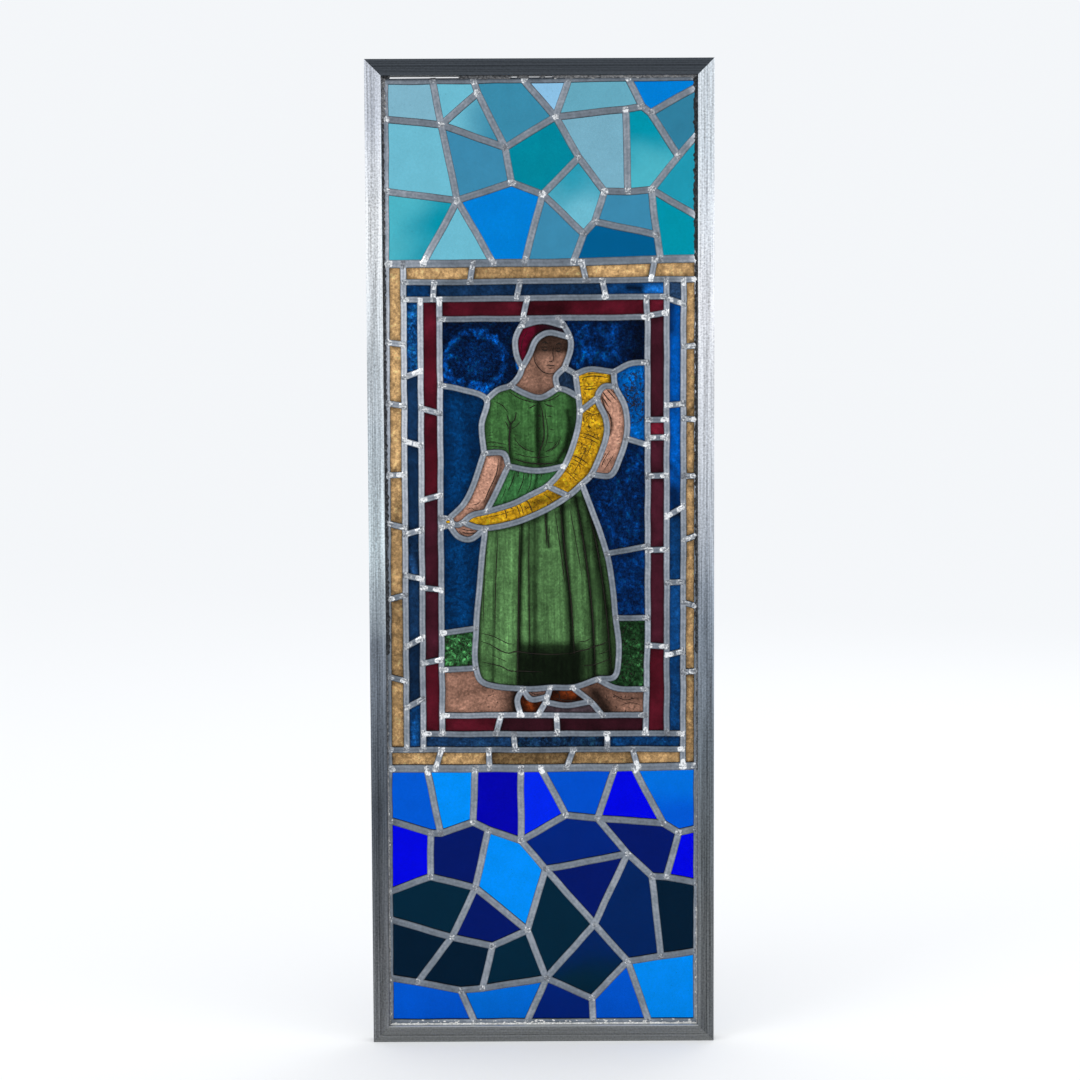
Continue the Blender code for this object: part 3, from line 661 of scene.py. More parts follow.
def net_places():
    """Places and faces of the whole net: one ring of rows for each cell and one for the rim."""
    places, faces = [], []
    for pairs in collars.values():
        half = min(math.dist(c, d) for c, d in pairs)
        lay_rows(places, faces, pairs, FLANGE + [(HEART_HALF / half, LEAD_LIP)])
    corners = {min(rim_loop, key=lambda place: math.dist(place, corner)): corner for corner in PANEL_EDGE}
    pairs = []
    for place in rim_loop:
        edges = zip(PANEL_EDGE, PANEL_EDGE[1:] + PANEL_EDGE[:1])
        nearest = min((nearest_on(place, a, b)[::-1] + (a, b) for a, b in edges))
        pairs.append((place, corners.get(place, between(nearest[2], nearest[3], nearest[1]))))
    lay_rows(places, faces, pairs, RIM_FLANGE)
    for index in solid_cells:
        for depth in (-LEAD_BELLY, LEAD_BELLY):
            start = len(places)
            places += [(x, depth, drop) for x, drop in LOOPS[index]]
            faces.append(tuple(range(start, len(places))))
    return places, faces


places, faces = net_places()
cames = weld(make_piece("cames", places, faces, [], ["lead_cames"], smooth=50), 0.01)
shape = bmesh.new()
shape.from_mesh(cames.data)
open_edges = sum(len(edge.link_faces) != 2 for edge in shape.edges)
shape.free()
print("lead faces", len(cames.data.polygons), "open edges", open_edges)

# %% [markdown]
# Old lead is not one grey. The rounded shoulders of each flange get a painted highlight, the lips stay
# dark with cement, and near a joint the flux and the tinning leave it pale. Some stretches are paler or
# darker than the rest. All of this is kept as numbers on the corners of the mesh, and the shader only
# adds the mottling of the oxide between them.

# %% Mix a metal
def add_node(tree, kind, values=None, **settings):
    node = tree.nodes.new("ShaderNode" + kind)
    for key, value in settings.items():
        setattr(node, key, value)
    for key, value in (values or {}).items():
        if isinstance(value, bpy.types.NodeSocket):
            tree.links.new(value, node.inputs[key])
        else:
            node.inputs[key].default_value = value
    return node


def sum_up(tree, operation, first, second, clamp=False):
    node = add_node(tree, "Math", {0: first, 1: second}, operation=operation)
    node.use_clamp = clamp
    return node.outputs[0]


NOISE_GAIN = 9.0
METAL_GRAIN = 0.9


def cloudiness(tree, place, size, amount, detail=3.0, stretch=None):
    """Noise of a size in millimetres round 0, which strays by about its amount."""
    if stretch:
        place = add_node(tree, "Mapping", {"Vector": place, "Scale": stretch}).outputs[0]
    made = add_node(tree, "TexNoise", {"Vector": place, "Scale": 1 / (size * MM), "Detail": detail})
    centred = sum_up(tree, "SUBTRACT", made.outputs[0], 0.5)
    return sum_up(tree, "MULTIPLY", centred, amount * NOISE_GAIN)


def colour_ramp(tree, level, tones):
    """The colour at a level, from tones as (level, colour)."""
    ramp = add_node(tree, "ValToRGB", {0: level})
    stops = ramp.color_ramp.elements
    for index, (at, colour) in enumerate(tones):
        stop = stops[index] if index < 2 else stops.new(at)
        stop.position, stop.color = at, (*colour, 1)
    return ramp.outputs[0]


def mottled_metal(name, tones, clouds, roughness, metallic, bump):
    """A metal whose colour runs through its tones by a number on the corners, broken up by noise."""
    made, tree, shader = plain_shader(name)
    place = add_node(tree, "TexCoord").outputs["Object"]
    level = add_node(tree, "Attribute", attribute_name="tone").outputs["Fac"]
    for size, amount in clouds:
        level = sum_up(tree, "ADD", level, cloudiness(tree, place, size, amount))
    tree.links.new(colour_ramp(tree, level, tones), shader.inputs["Base Color"])
    shader.inputs["Metallic"].default_value = metallic
    dull = add_node(tree, "MapRange", {0: level, 1: 0.0, 2: 1.0, 3: roughness[0], 4: roughness[1]})
    tree.links.new(dull.outputs[0], shader.inputs["Roughness"])
    grain = add_node(tree, "TexNoise", {"Vector": place, "Scale": 1 / (METAL_GRAIN * MM), "Detail": 4.0})
    depth = {"Height": grain.outputs[0], "Strength": 0.5, "Distance": bump * MM}
    tree.links.new(add_node(tree, "Bump", depth).outputs[0], shader.inputs["Normal"])
    return made


def set_numbers(piece, name, values):
    """Keep one number for each corner of a piece's mesh."""
    piece.data.attributes.new(name, "FLOAT", "POINT").data.foreach_set("value", values)


print("the fine grain of a metal is", METAL_GRAIN, "mm")

# %% [markdown]
# Each pale or dark patch of the lead is (x, drop, half its width, half its height, how much paler).
# Besides the patches, the uprights get painted light: they are a little paler than the levels.

# %% Finish the lead
LEAD_TONES = [(0.0, (0.03, 0.033, 0.04)), (0.35, (0.118, 0.138, 0.165)), (0.6, (0.205, 0.235, 0.275)),
              (0.8, (0.36, 0.39, 0.44)), (1.0, (0.62, 0.65, 0.7))]
PALE_PATCHES = [
    (-135, 300, 45, 260, 0.26), (160, 150, 12, 330, 0.4), (110, 400, 40, 320, 0.06), (0, 981, 175, 14, 0.2),
    (-158, 680, 12, 420, -0.2), (160, 640, 12, 240, -0.2), (-80, 350, 40, 70, 0.12),
    (0, 717, 170, 14, 0.09),
    (-40, 664, 120, 12, 0.2), (0, 850, 160, 120, 0.06), (20, 400, 50, 60, 0.08), (80, 520, 30, 80, -0.12),
    (-105, 230, 55, 16, -0.17), (128, 640, 10, 120, -0.12), (144, 290, 9, 140, 0.12),
    (0, 698, 110, 10, -0.1),
    (150, 716, 40, 12, 0.12), (-150, 717, 30, 12, 0.12), (150, 208, 30, 20, 0.14), (5, 981, 45, 10, -0.2),
    (-140, 20, 30, 10, 0.14),
]
LEAD_TONE, UPRIGHT_PAINTED_LIGHT = 0.55, 0.09
SHOULDER_GLEAM, MOSAIC_GLEAM = 0.16, 0.08
LIP_FROM, LIP_SPAN, LIP_DARKER = 2.62, 0.6, 0.5
TINNED_REACH, TINNED_PALER = 9, 0.06
lead_finish = mottled_metal("lead", LEAD_TONES, ((9, 0.035), (2.2, 0.045)), (0.62, 0.36), 0.85, bump=0.12)
cames.data.materials.append(lead_finish)
joint_tree = kdtree.KDTree(len(JOINTS))
for index, place in enumerate(JOINTS):
    joint_tree.insert((*place, 0), index)
joint_tree.balance()
arm_places = list(arms)
line_tree = kdtree.KDTree(len(arms))
for index, place in enumerate(arm_places):
    line_tree.insert((*place, 0), index)
line_tree.balance()


def lead_tone(x, drop):
    """How pale the lead is at a place: uprights get painted light, the shoulders a painted highlight."""
    place = arm_places[line_tree.find((x, drop, 0))[1]]
    steep = [abs(other[1] - place[1]) / math.dist(other, place) for other in arms[place]]
    # Painted light: uprights are paler than levels.
    tone = LEAD_TONE + UPRIGHT_PAINTED_LIGHT * (2 * sum(steep) / len(steep) - 1)
    for at_x, at_drop, wide, high, gain in PALE_PATCHES:
        tone += gain * max(0.0, 1 - ((x - at_x) / wide) ** 2 - ((drop - at_drop) / high) ** 2)
    off = math.dist((x, drop), place) / max(net[(place, other)] for other in arms[place])
    # Painted highlight along the rounded shoulders of each flange.
    gleam = SHOULDER_GLEAM if 203 < drop < 717 else MOSAIC_GLEAM
    return tone + gleam * (math.sin(math.pi * min(1.0, off)) - 0.4)


tones = []
for corner in cames.data.vertices:
    x, depth, drop = corner.co.x / MM, abs(corner.co.y / MM), HEIGHT - corner.co.z / MM
    near = max(0.0, 1 - joint_tree.find((x, drop, 0))[2] / TINNED_REACH)
    lip = max(0.0, min(1.0, (LIP_FROM - depth) / LIP_SPAN))
    tones.append(lead_tone(x, drop) - LIP_DARKER * lip + TINNED_PALER * near)
set_numbers(cames, "tone", tones)
print("lead tones from", round(min(tones), 2), "to", round(max(tones), 2))

# %% [markdown]
# ## The solder
#
# Each joint is soldered on both sides. Molten solder wets the lead and runs a little way along
# every came that meets there, then sets as a low, bright, uneven mound. A mound is a polar grid:
# its reach in each direction is the longest of the tongues that run down the cames, and its height
# falls off towards the rim, which sinks into the lead.

# %% Run the solder
MOUND_SPOKES, MOUND_RINGS = 26, (0.3, 0.58, 0.82, 1.0)
MOUND_RIM = 2.25
UPPER_MOSAIC_END, LOWER_MOSAIC_START = 201, 718
chance = random.Random(7)


def tongue(angle, way, reach, half):
    """How far solder reaches at an angle along one came: a rounded strip inside its width."""
    turn = angle - way
    if math.cos(turn) <= 0:
        return half * 0.8
    along, across = math.cos(turn) / reach, math.sin(turn) / (half * 0.93)
    return (along ** 4 + across ** 4) ** -0.25


def solder_run(x, drop):
    """How solder lies in each part: (reach on the through came, reach on the stem, rise, shine)."""
    if drop > LOWER_MOSAIC_START:
        return (3.6, 5.5), (3.6, 6.0), (0.22, 0.4), (0.2, 0.4)
    if drop < UPPER_MOSAIC_END or (abs(x) < 100 and 262 < drop < 660):
        return (3.4, 5.5), (3.8, 6.5), (0.25, 0.45), (0.1, 0.65)
    return (3.2, 5.6), (7.0, 11.5), (0.35, 0.7), (0.2, 0.85)


def mound(place, side, places, faces, tones):
    x, drop = place
    through, stem, rise, gloss = solder_run(x, drop)
    directions = [math.atan2(other[1] - drop, other[0] - x) for other in arms[place]]
    ways = []
    for turn, other in zip(directions, arms[place]):
        crosses = all(math.cos(turn - second) > -0.9 for second in directions)
        ways.append((turn, chance.uniform(*(stem if crosses else through)), net[(place, other)], crosses))
    top = LEAD_BELLY + chance.uniform(*rise)
    shine = chance.uniform(*gloss) + 0.5 * (lead_tone(x, drop) - LEAD_TONE)
    start = len(places)
    places.append((x, side * top, drop))
    tones.append(shine)
    for ring in MOUND_RINGS:
        for spoke in range(MOUND_SPOKES):
            angle = math.tau * spoke / MOUND_SPOKES
            out, down = math.cos(angle), math.sin(angle)
            reach, on_stem, way = max((tongue(angle, *way), crosses, way[0]) for *way, crosses in ways)
            reach *= 1 + 0.1 * noise.noise((x + 2 * out, drop + 2 * down, 5.0 + side))
            at = (x + ring * reach * out, drop + ring * reach * down)
            lump = 0.4 * noise.noise((at[0] / 2.5, at[1] / 2.5, 9.0 + side)) * (1 - ring)
            height = MOUND_RIM + (top - MOUND_RIM) * (1 - ring ** 3) + lump
            places.append((at[0], side * height, at[1]))
            along, across = ring * reach * math.cos(angle - way), ring * reach * math.sin(angle - way)
            streaks = noise.noise((along / 3.6, across / 0.8, x + drop))
            stem_shine = 0.35 * ring if on_stem else 0.0
            # The tone is the solder's own brightness, with a painted highlight where a lump stands up, and
            # darker towards the rim.
            tones.append(shine - 0.15 * ring ** 2 + stem_shine + 1.2 * lump + 0.8 * streaks)
    for spoke in range(MOUND_SPOKES):
        after = (spoke + 1) % MOUND_SPOKES
        faces.append((start, start + 1 + spoke, start + 1 + after))
        for ring in range(len(MOUND_RINGS) - 1):
            a, b = (start + 1 + ring * MOUND_SPOKES + turn for turn in (spoke, after))
            faces.append((a, a + MOUND_SPOKES, b + MOUND_SPOKES, b))
    last = start + 1 + (len(MOUND_RINGS) - 1) * MOUND_SPOKES
    faces.append(tuple(range(last, last + MOUND_SPOKES)))


SOLDER_TONES = [(0.0, (0.15, 0.16, 0.18)), (0.3, (0.24, 0.26, 0.29)), (0.6, (0.42, 0.44, 0.46)),
                (1.0, (0.9, 0.91, 0.92))]
solder_finish = mottled_metal("solder", SOLDER_TONES, ((2.6, 0.16), (1.3, 0.1)), (0.5, 0.25), 0.9,
                              bump=0.05)
for name, side in (("solder_front", -1), ("solder_back", 1)):
    places, faces, tones = [], [], []
    for place in sorted(JOINTS):
        mound(place, side, places, faces, tones)
    piece = make_piece(name, places, faces, [solder_finish], [])
    set_numbers(piece, "tone", tones)
    weld(piece)
    shade_smooth(piece.data)
    print(name, "mounds", len(JOINTS), "faces", len(piece.data.polygons))

# %% [markdown]
# ## The glass
#
# Each piece is cut a little smaller than its cell, so that it sits in the grooves. Its face is a
# mesh of small triangles rather than one big face, because the tint, the paint and the slight
# ripple of the glass are all kept on its corners.

# %% Cut the glass
GLASS_HALF, GLASS_EDGE = 1.5, 1.1
RIPPLE, RIPPLE_LENGTH = 0.05, 22.0
ROW_SHARE, CLEAR_OF_RIM = 0.866, 0.45


def off_line(flat, line):
    """How far each place is from a line, whether it lies on its right, and the way from the line."""
    line = np.array(line, float)
    start, way = line[:-1], np.diff(line, axis=0)
    rel = flat[:, None] - start[None]
    share = np.clip((rel * way[None]).sum(2) / (way ** 2).sum(1)[None], 0, 1)
    gap = rel - share[..., None] * way[None]
    away = np.linalg.norm(gap, axis=2)
    nearest = away.argmin(1)
    rows = np.arange(len(flat))
    turn = way[nearest, 0] * rel[rows, nearest, 1] - way[nearest, 1] * rel[rows, nearest, 0]
    return away[rows, nearest], turn < 0, gap[rows, nearest]


def sheet(rim, step):
    """A flat sheet inside a rim: places and triangles, with a grid of places step apart within."""
    rim = np.array(rim)
    low, high = rim.min(0), rim.max(0)
    grid = []
    for number, drop in enumerate(np.arange(low[1], high[1] + step, step * ROW_SHARE)):
        xs = np.arange(low[0] + (number % 2) * step / 2, high[0] + step, step)
        grid.append(np.stack([xs, np.full(len(xs), drop)], 1))
    grid = np.concatenate(grid)
    away, _, _ = off_line(grid, np.concatenate([rim, rim[:1]]))
    ends = np.roll(rim, -1, 0)
    way = ends - rim
    above = (rim[None, :, 1] > grid[:, None, 1]) != (ends[None, :, 1] > grid[:, None, 1])
    with np.errstate(divide="ignore", invalid="ignore"):
        cut = rim[None, :, 0] + (grid[:, None, 1] - rim[None, :, 1]) / way[None, :, 1] * way[None, :, 0]
    inside = (above & (grid[:, None, 0] < cut)).sum(1) % 2 == 1
    within = grid[inside & (away > CLEAR_OF_RIM * step)]
    corners = [Vector(place) for place in np.concatenate([rim, within])]
    edges = [(i, (i + 1) % len(rim)) for i in range(len(rim))]
    flat, _, faces, *_ = delaunay_2d_cdt(corners, edges, [], 1, 0.0001)
    return [tuple(place) for place in flat], faces


def pane_body(rim, step, back_step):
    """A closed piece of glass: a front sheet, a back sheet and the cut edge between them."""
    front, front_faces = sheet(rim, step)
    back, back_faces = sheet(rim, back_step)
    places = []
    for x, drop in front:
        swell = noise.noise((x / RIPPLE_LENGTH, drop / RIPPLE_LENGTH, 3.0))
        places.append((x, -GLASS_HALF + RIPPLE * swell, drop))
    places += [(x, GLASS_HALF, drop) for x, drop in back]
    start, count = len(front), len(rim)
    faces = [tuple(face) for face in front_faces]
    faces += [tuple(start + corner for corner in face) for face in back_faces]
    faces += [(i, (i + 1) % count, start + (i + 1) % count, start + i) for i in range(count)]
    return places, faces, start


print("glass is", 2 * GLASS_HALF, "mm thick and goes", BORDER_CAME - GLASS_EDGE, "mm into a border came")

# %% [markdown]
# Sheet glass comes in named colours, and a glazier picks them from a rack. The rack here holds the
# colour that each sheet shows against white light, as screen levels from 0 to 255. Some sheets are
# streaky and change from one colour to another across a piece, and these get a second colour and
# the way it lies.

# %% Fill the rack with sheets
RACK = {
    "mist": (132, 186, 205), "aqua": (114, 193, 213), "lagoon": (80, 186, 202), "sky": (146, 200, 235),
    "sea": (106, 174, 194), "haze": (125, 180, 200), "slate": (60, 143, 173), "harbour": (50, 130, 160),
    "steel": (62, 141, 176), "teal": (0, 151, 174), "deep_teal": (0, 138, 160), "pool": (32, 156, 180),
    "azure": (0, 131, 220), "petrol": (0, 95, 146), "bright_azure": (0, 139, 243),
    "royal": (0, 86, 208), "cornflower": (0, 76, 200), "ocean": (0, 108, 218), "cobalt": (0, 36, 232),
    "ultramarine": (0, 2, 222), "deep_ultramarine": (0, 0, 168), "navy": (0, 21, 98),
    "ink": (0, 34, 118), "prussian": (0, 34, 90), "midnight": (0, 26, 47), "dusk": (0, 36, 56),
    "amber": (213, 171, 118), "border_blue": (28, 115, 205), "ruby": (124, 30, 50),
    "crimson": (150, 22, 60), "skin": (212, 158, 134), "green": (68, 114, 62),
    "fresh_green": (72, 138, 78), "meadow": (100, 145, 88), "gold": (230, 172, 32), "rock": (176, 130, 110),
    "brown": (112, 84, 74), "shoe": (150, 66, 26), "maroon": (74, 60, 66), "leaf": (72, 140, 80),
    "night": (0, 112, 205), "day": (0, 108, 205), "dull_border_blue": (58, 124, 200),
    "vivid_border_blue": (0, 102, 208), "deep_night": (0, 98, 208),
    "dull_ruby": (124, 50, 72), "storm": (70, 112, 165), "plum": (112, 72, 104),
}


def linear(level):
    level /= 255
    return level / 12.92 if level <= 0.04045 else ((level + 0.055) / 1.055) ** 2.4


def seen(colour):
    """The share of each colour that is let through or thrown back, from how it looks in white light."""
    return tuple(linear(level) for level in colour)


amber_share = [round(part, 2) for part in seen(RACK["amber"])]
print("sheets in the rack", len(RACK), "amber lets through", amber_share)

# %% [markdown]
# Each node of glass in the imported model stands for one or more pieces. The list says where each
# piece lies and which sheet it is cut from.

# %% Choose the glass of the mosaics
MOSAIC_PANES = {
    "upper_glass_pale_left": [(-130, 40, "mist"), (-85, 35, "aqua"), (-130, 100, "aqua")],
    "upper_glass_slate": [(-65, 62, "aqua", "slate", (1, 0.4)), (-30, 45, "slate"), (-60, 110, "steel")],
    "upper_glass_sky": [(10, 30, "sky"), (60, 35, "sea"), (60, 85, "haze")],
    "upper_glass_teal_right": [
        (130, 30, "azure"), (145, 60, "harbour"), (110, 95, "teal", "lagoon", (0, 1)),
        (140, 130, "pool"), (140, 180, "teal")],
    "upper_glass_teal_middle": [
        (5, 105, "deep_teal"), (40, 140, "pool", "aqua", (0.3, 1)), (12, 180, "steel")],
    "upper_glass_azure_foot": [(-130, 170, "lagoon", "teal", (1, 0.4)), (-80, 185, "aqua"),
                               (-30, 160, "azure")],
    "upper_glass_steel": [(90, 150, "steel"), (80, 185, "petrol")],
    "lower_glass_royal_left": [(-135, 745, "royal"), (-88, 740, "bright_azure"),
                               (-135, 810, "ultramarine")],
    "lower_glass_cobalt_top": [(-45, 745, "deep_ultramarine"), (-10, 760, "cobalt"),
                               (40, 740, "cornflower")],
    "lower_glass_ultramarine_right": [
        (90, 750, "ultramarine"), (135, 750, "ocean", "royal", (0, 1)), (148, 805, "ultramarine")],
    "lower_glass_navy_left": [(-90, 805, "navy"), (-120, 860, "dusk"), (-130, 905, "midnight")],
    "lower_glass_azure_heart": [(-35, 825, "bright_azure"), (-55, 870, "navy")],
    "lower_glass_navy_right": [
        (35, 790, "ink"), (110, 800, "navy"), (45, 840, "navy"),
        (90, 860, "prussian"), (140, 870, "midnight")],
    "lower_glass_midnight": [
        (10, 880, "dusk"), (-90, 920, "midnight"), (-30, 915, "dusk"),
        (45, 920, "prussian", "dusk", (0, 1))],
    "lower_glass_foot": [
        (-120, 965, "royal"), (-50, 965, "ocean"), (15, 965, "ink"), (75, 960, "royal"),
        (130, 950, "bright_azure")],
}
print("mosaic pieces", sum(len(panes) for panes in MOSAIC_PANES.values()))

# %% [markdown]
# The three strips of the border are cut from one kind of glass each. A thread laid along a strip
# meets every piece in it, so two places are enough to find them all. The numbers after them say how
# heavy the matt lies on each piece, from the thread's start to its end. The stains below are
# strokes of extra matt (or less, where the number is negative), and the grain says how strongly the
# matt is broken up on each piece.

# %% Choose the glass of the border
BORDER_STRIPS = {
    "amber_left_glass": ("amber", (-146.5, 215), (-147.5, 690), [0.07, 0.0, 0.02, 0.1, 0.34, 0.5, 0.4]),
    "amber_right_glass": ("amber", (151, 230), (151, 705), [0.11, 0.29, 0.29, 0.27, 0.33, 0.27, 0.48]),
    "amber_top_glass": ("amber", (-130, 213), (150, 209), [0.12, 0.42, 0.05, 0.19]),
    "amber_bottom_glass": ("amber", (-148, 707), (135, 707), [0.37, 0.33, 0.77, 0.58, 0.33]),
    "blue_left_glass": ("border_blue", (-130, 248), (-130, 690), [0.58, 0.83, 0.87, 0.9, 0.85, 0.92, 0.78]),
    "blue_right_glass": ("border_blue", (136, 230), (136, 674), [0.57, 0.33, 0.26, 0.76, 0.61, 0.78]),
    "blue_top_glass": ("border_blue", (-130, 231), (118, 229), [0.8, 0.86, 0.88, 0.72]),
    "blue_bottom_glass": ("border_blue", (-113, 689.5), (136, 689.5), [0.82, 0.9, 0.8]),
    "red_left_glass": ("ruby", (-112, 248), (-112, 672), [0.53, 0.63, 0.75, 0.76, 0.56]),
    "red_right_glass": ("ruby", (117, 245), (116, 672), [0.25, 0.75, 0.0, 0.7, 0.68, 0.71, 0.63]),
    "red_top_glass": ("ruby", (-93, 249), (100, 248), [0.6, 0.55]),
    "red_bottom_glass": ("ruby", (-95, 672), (98, 672), [0.61, 0.86, 0.86]),
}
BORDER_STAINS = {
    "amber_left_glass": [(0.6, 5, 6, (-146, 444), (-147, 464)),
                         (-0.7, 1.1, 1.1, (-150.2, 424), (-150.6, 446))],
    "amber_top_glass": [(-0.5, 1.3, 1.3, (-134, 210.5), (-129, 216), (-118, 217.5)),
                        (0.5, 3, 3, (112, 205), (110, 218))],
    "amber_right_glass": [(0.65, 3, 4, (146, 359), (157, 345)), (0.5, 2, 2, (155, 400), (155, 415))],
    "blue_left_glass": [(-0.25, 4, 4, (-132, 500), (-130, 516)), (-0.25, 4, 4, (-131, 670), (-131, 692))],
    "blue_top_glass": [(0.9, 5, 5, (88, 228), (101, 229)), (-0.9, 6, 6, (109, 230), (123, 230))],
    "blue_right_glass": [(0.85, 16, 16, (134, 434), (138, 455)), (0.5, 5, 5, (131, 408), (138, 418)),
                         (0.65, 5, 9, (131, 248), (132, 272))],
    "red_top_glass": [(0.7, 16, 16, (-8, 248), (18, 249))],
}
BORDER_GRAIN = {
    "amber_left_glass": [0.9] * 7, "amber_right_glass": [0.9] * 7, "amber_top_glass": [0.9] * 4,
    "amber_bottom_glass": [1.0, 0.9, 1.0, 0.9, 0.7], "blue_left_glass": [1.5, 0.5, 0.5, 0.7, 0.5, 0.5, 0.9],
    "blue_right_glass": [0.7, 0.35, 0.4, 0.6, 0.5, 0.6], "blue_top_glass": [0.7, 0.6, 0.6, 0.5],
    "blue_bottom_glass": [0.8, 1.4, 0.9], "red_left_glass": [0.4] * 5, "red_right_glass": [0.4] * 7,
    "red_top_glass": [0.5] * 2, "red_bottom_glass": [0.5] * 3,
}
ODD_SHEETS = {("blue_right_glass", 0): "storm"}
THREAD_STEP = 2.0
VIVID_MATT, DULL_BLUE_MATT, DULL_RUBY_MATT = 0.4, 0.81, 0.675


def cut_from(node, number, name, matt):
    """The sheet for a piece of a strip: where it has weathered most it also looks a little greyer."""
    if (node, number) in ODD_SHEETS:
        return ODD_SHEETS[node, number]
    if name == "border_blue" and matt < VIVID_MATT:
        return "vivid_border_blue"
    limit = {"border_blue": DULL_BLUE_MATT, "ruby": DULL_RUBY_MATT}.get(name, 1.0)
    return "dull_" + name if matt > limit else name


def cells_on_thread(start, end):
    met = []
    count = int(math.dist(start, end) / THREAD_STEP)
    for index in range(count + 1):
        cell = find_cell(between(start, end, index / count))
        if cell not in met:
            met.append(cell)
    return met


print("border pieces", sum(len(matts) for *_, matts in BORDER_STRIPS.values()))

# %% [markdown]
# The picture has one piece of glass for each part of the figure and its surroundings.

# %% Choose the glass of the picture
PICTURE_PANES = {
    "headscarf_glass": (-17, 280, "crimson", "plum", (1, -0.2)), "face_glass": (5, 300, "skin"),
    "bodice_glass": (-10, 370, "green"), "waist_glass": (-20, 425, "fresh_green"),
    "skirt_glass": (0, 550, "meadow"), "left_arm_glass": (-55, 425, "skin"),
    "left_hand_glass": (-76, 474, "skin"), "right_arm_glass": (75, 370, "skin"),
    "horn_bell_glass": (50, 325, "gold"), "horn_body_glass": (45, 380, "gold"),
    "horn_tail_glass": (-20, 452, "gold"), "horn_mouthpiece_glass": (*RING_CENTRE, "gold"),
    "instep_glass": (-6, 640, "brown"), "left_shoe_glass": (-12, 652, "shoe"),
    "right_shoe_glass": (25, 643, "shoe"), "right_sole_glass": (25, 657, "maroon"),
    "left_rock_glass": (-85, 640, "rock"), "right_rock_glass": (85, 648, "rock"),
    "left_foliage_glass": (-85, 595, "leaf"), "right_foliage_glass": (90, 600, "leaf"),
    "sky_top_left_glass": (-70, 290, "deep_night"), "sky_top_right_glass": (70, 280, "deep_night"),
    "sky_shoulder_glass": (28, 322, "storm"), "sky_left_glass": (-85, 400, "night"),
    "sky_lower_left_glass": (-80, 530, "night"), "sky_horn_glass": (97, 345, "day"),
    "sky_right_glass": (85, 450, "deep_night"), "sky_lower_right_glass": (90, 530, "deep_night"),
}
print("picture pieces", len(PICTURE_PANES))

# %% [markdown]
# ## What glass looks like
#
# Coloured glass filters light. In Blender the Principled shader with full transmission tints the
# light once at each face, so a slab with two faces gives its own colour back. Matt, the thin brown
# wash that a painter stipples over the glass, only takes light away. It is a number on each corner
# of the front sheet, broken up by cloudy and grainy noise, and 1 stops all the light. A second
# number says how strongly it is broken up, because some pieces are much smoother than others.

# %% Mix the glass
def glass_finish(name, clouds, seeds=None, roughness=0.08):
    """Tinted glass under matt. A cloud is (size in mm, amount) and perhaps a stretch of the pattern."""
    made, tree, shader = plain_shader(name)
    place = add_node(tree, "TexCoord").outputs["Object"]
    tint = add_node(tree, "Attribute", attribute_name="tint").outputs["Color"]
    matt = add_node(tree, "Attribute", attribute_name="matt").outputs["Fac"]
    broken = 0.0
    for size, amount, *stretch in clouds:
        cloud = cloudiness(tree, place, size, amount / 2, stretch=(stretch or [None])[0])
        broken = sum_up(tree, "ADD", cloud, broken)
    grain = add_node(tree, "Attribute", attribute_name="grain").outputs["Fac"]
    broken = sum_up(tree, "POWER", math.e, sum_up(tree, "MULTIPLY", broken, grain))
    if seeds:
        size, share = seeds
        cell = add_node(tree, "TexVoronoi", {"Vector": place, "Scale": 1 / (size * MM)})
        dot = add_node(tree, "MapRange", {0: cell.outputs["Distance"], 1: 0.0, 2: share, 3: 0.3, 4: 0.0})
        broken = sum_up(tree, "SUBTRACT", broken, dot.outputs[0])
    clear = sum_up(tree, "MULTIPLY", sum_up(tree, "SUBTRACT", 1.0, matt), broken)
    clear = sum_up(tree, "POWER", clear, 2.0)
    colour = add_node(tree, "VectorMath", {0: tint, "Scale": clear}, operation="SCALE")
    colour = add_node(tree, "VectorMath", {0: colour.outputs[0], 1: (1.0, 1.0, 1.0)}, operation="MINIMUM")
    tree.links.new(colour.outputs[0], shader.inputs["Base Color"])
    shader.inputs["Transmission Weight"].default_value = 1
    shader.inputs["Roughness"].default_value = roughness
    shader.inputs["IOR"].default_value = 1.5
    shader.inputs["Specular Tint"].default_value = (0.06, 0.06, 0.06, 1)
    return made


FINISH_OF = {
    "amber_glass": dict(clouds=((9, 0.25), (3, 0.35), (1.8, 0.2)), roughness=0.15),
    "border_blue_glass": dict(clouds=((14, 0.35), (3.5, 0.4), (1.8, 0.4)), roughness=0.15),
    "ruby_glass": dict(clouds=((24, 0.5), (4, 0.18), (1.8, 0.12)), roughness=0.15),
    "night_blue_glass": dict(clouds=((12, 0.3), (3, 0.7), (1.8, 0.5)), roughness=0.15),
    "foliage_glass": dict(clouds=((7, 0.35), (2.8, 0.9)), roughness=0.15),
    "rock_glass": dict(clouds=((18, 0.16), (2.4, 0.3)), roughness=0.15),
    "flesh_glass": dict(clouds=((12, 0.12), (2.4, 0.3)), roughness=0.12),
    "green_glass": dict(clouds=((12, 0.16), (3, 0.26, (1, 1, 0.05)), (2.2, 0.26)), roughness=0.12),
    "gold_glass": dict(clouds=((8, 0.25), (2.6, 0.45)), roughness=0.12),
    "crimson_glass": dict(clouds=((8, 0.2), (3, 0.25)), roughness=0.12),
    "brown_glass": dict(clouds=((7, 0.3), (3, 0.35)), roughness=0.12),
}
PLAIN_GLASS = dict(clouds=((25, 0.025), (2.2, 0.035)), seeds=(9, 0.085))
finishes = {}
SLOTS = {part["node"]: part["material_slot"] for part in frame["record"]["subparts"]}
for slot in sorted({SLOTS[node] for node in SLOTS} - {"aluminium", "lead"}):
    finishes[slot] = glass_finish(slot, **FINISH_OF.get(slot, PLAIN_GLASS))
print("glass finishes", len(finishes))

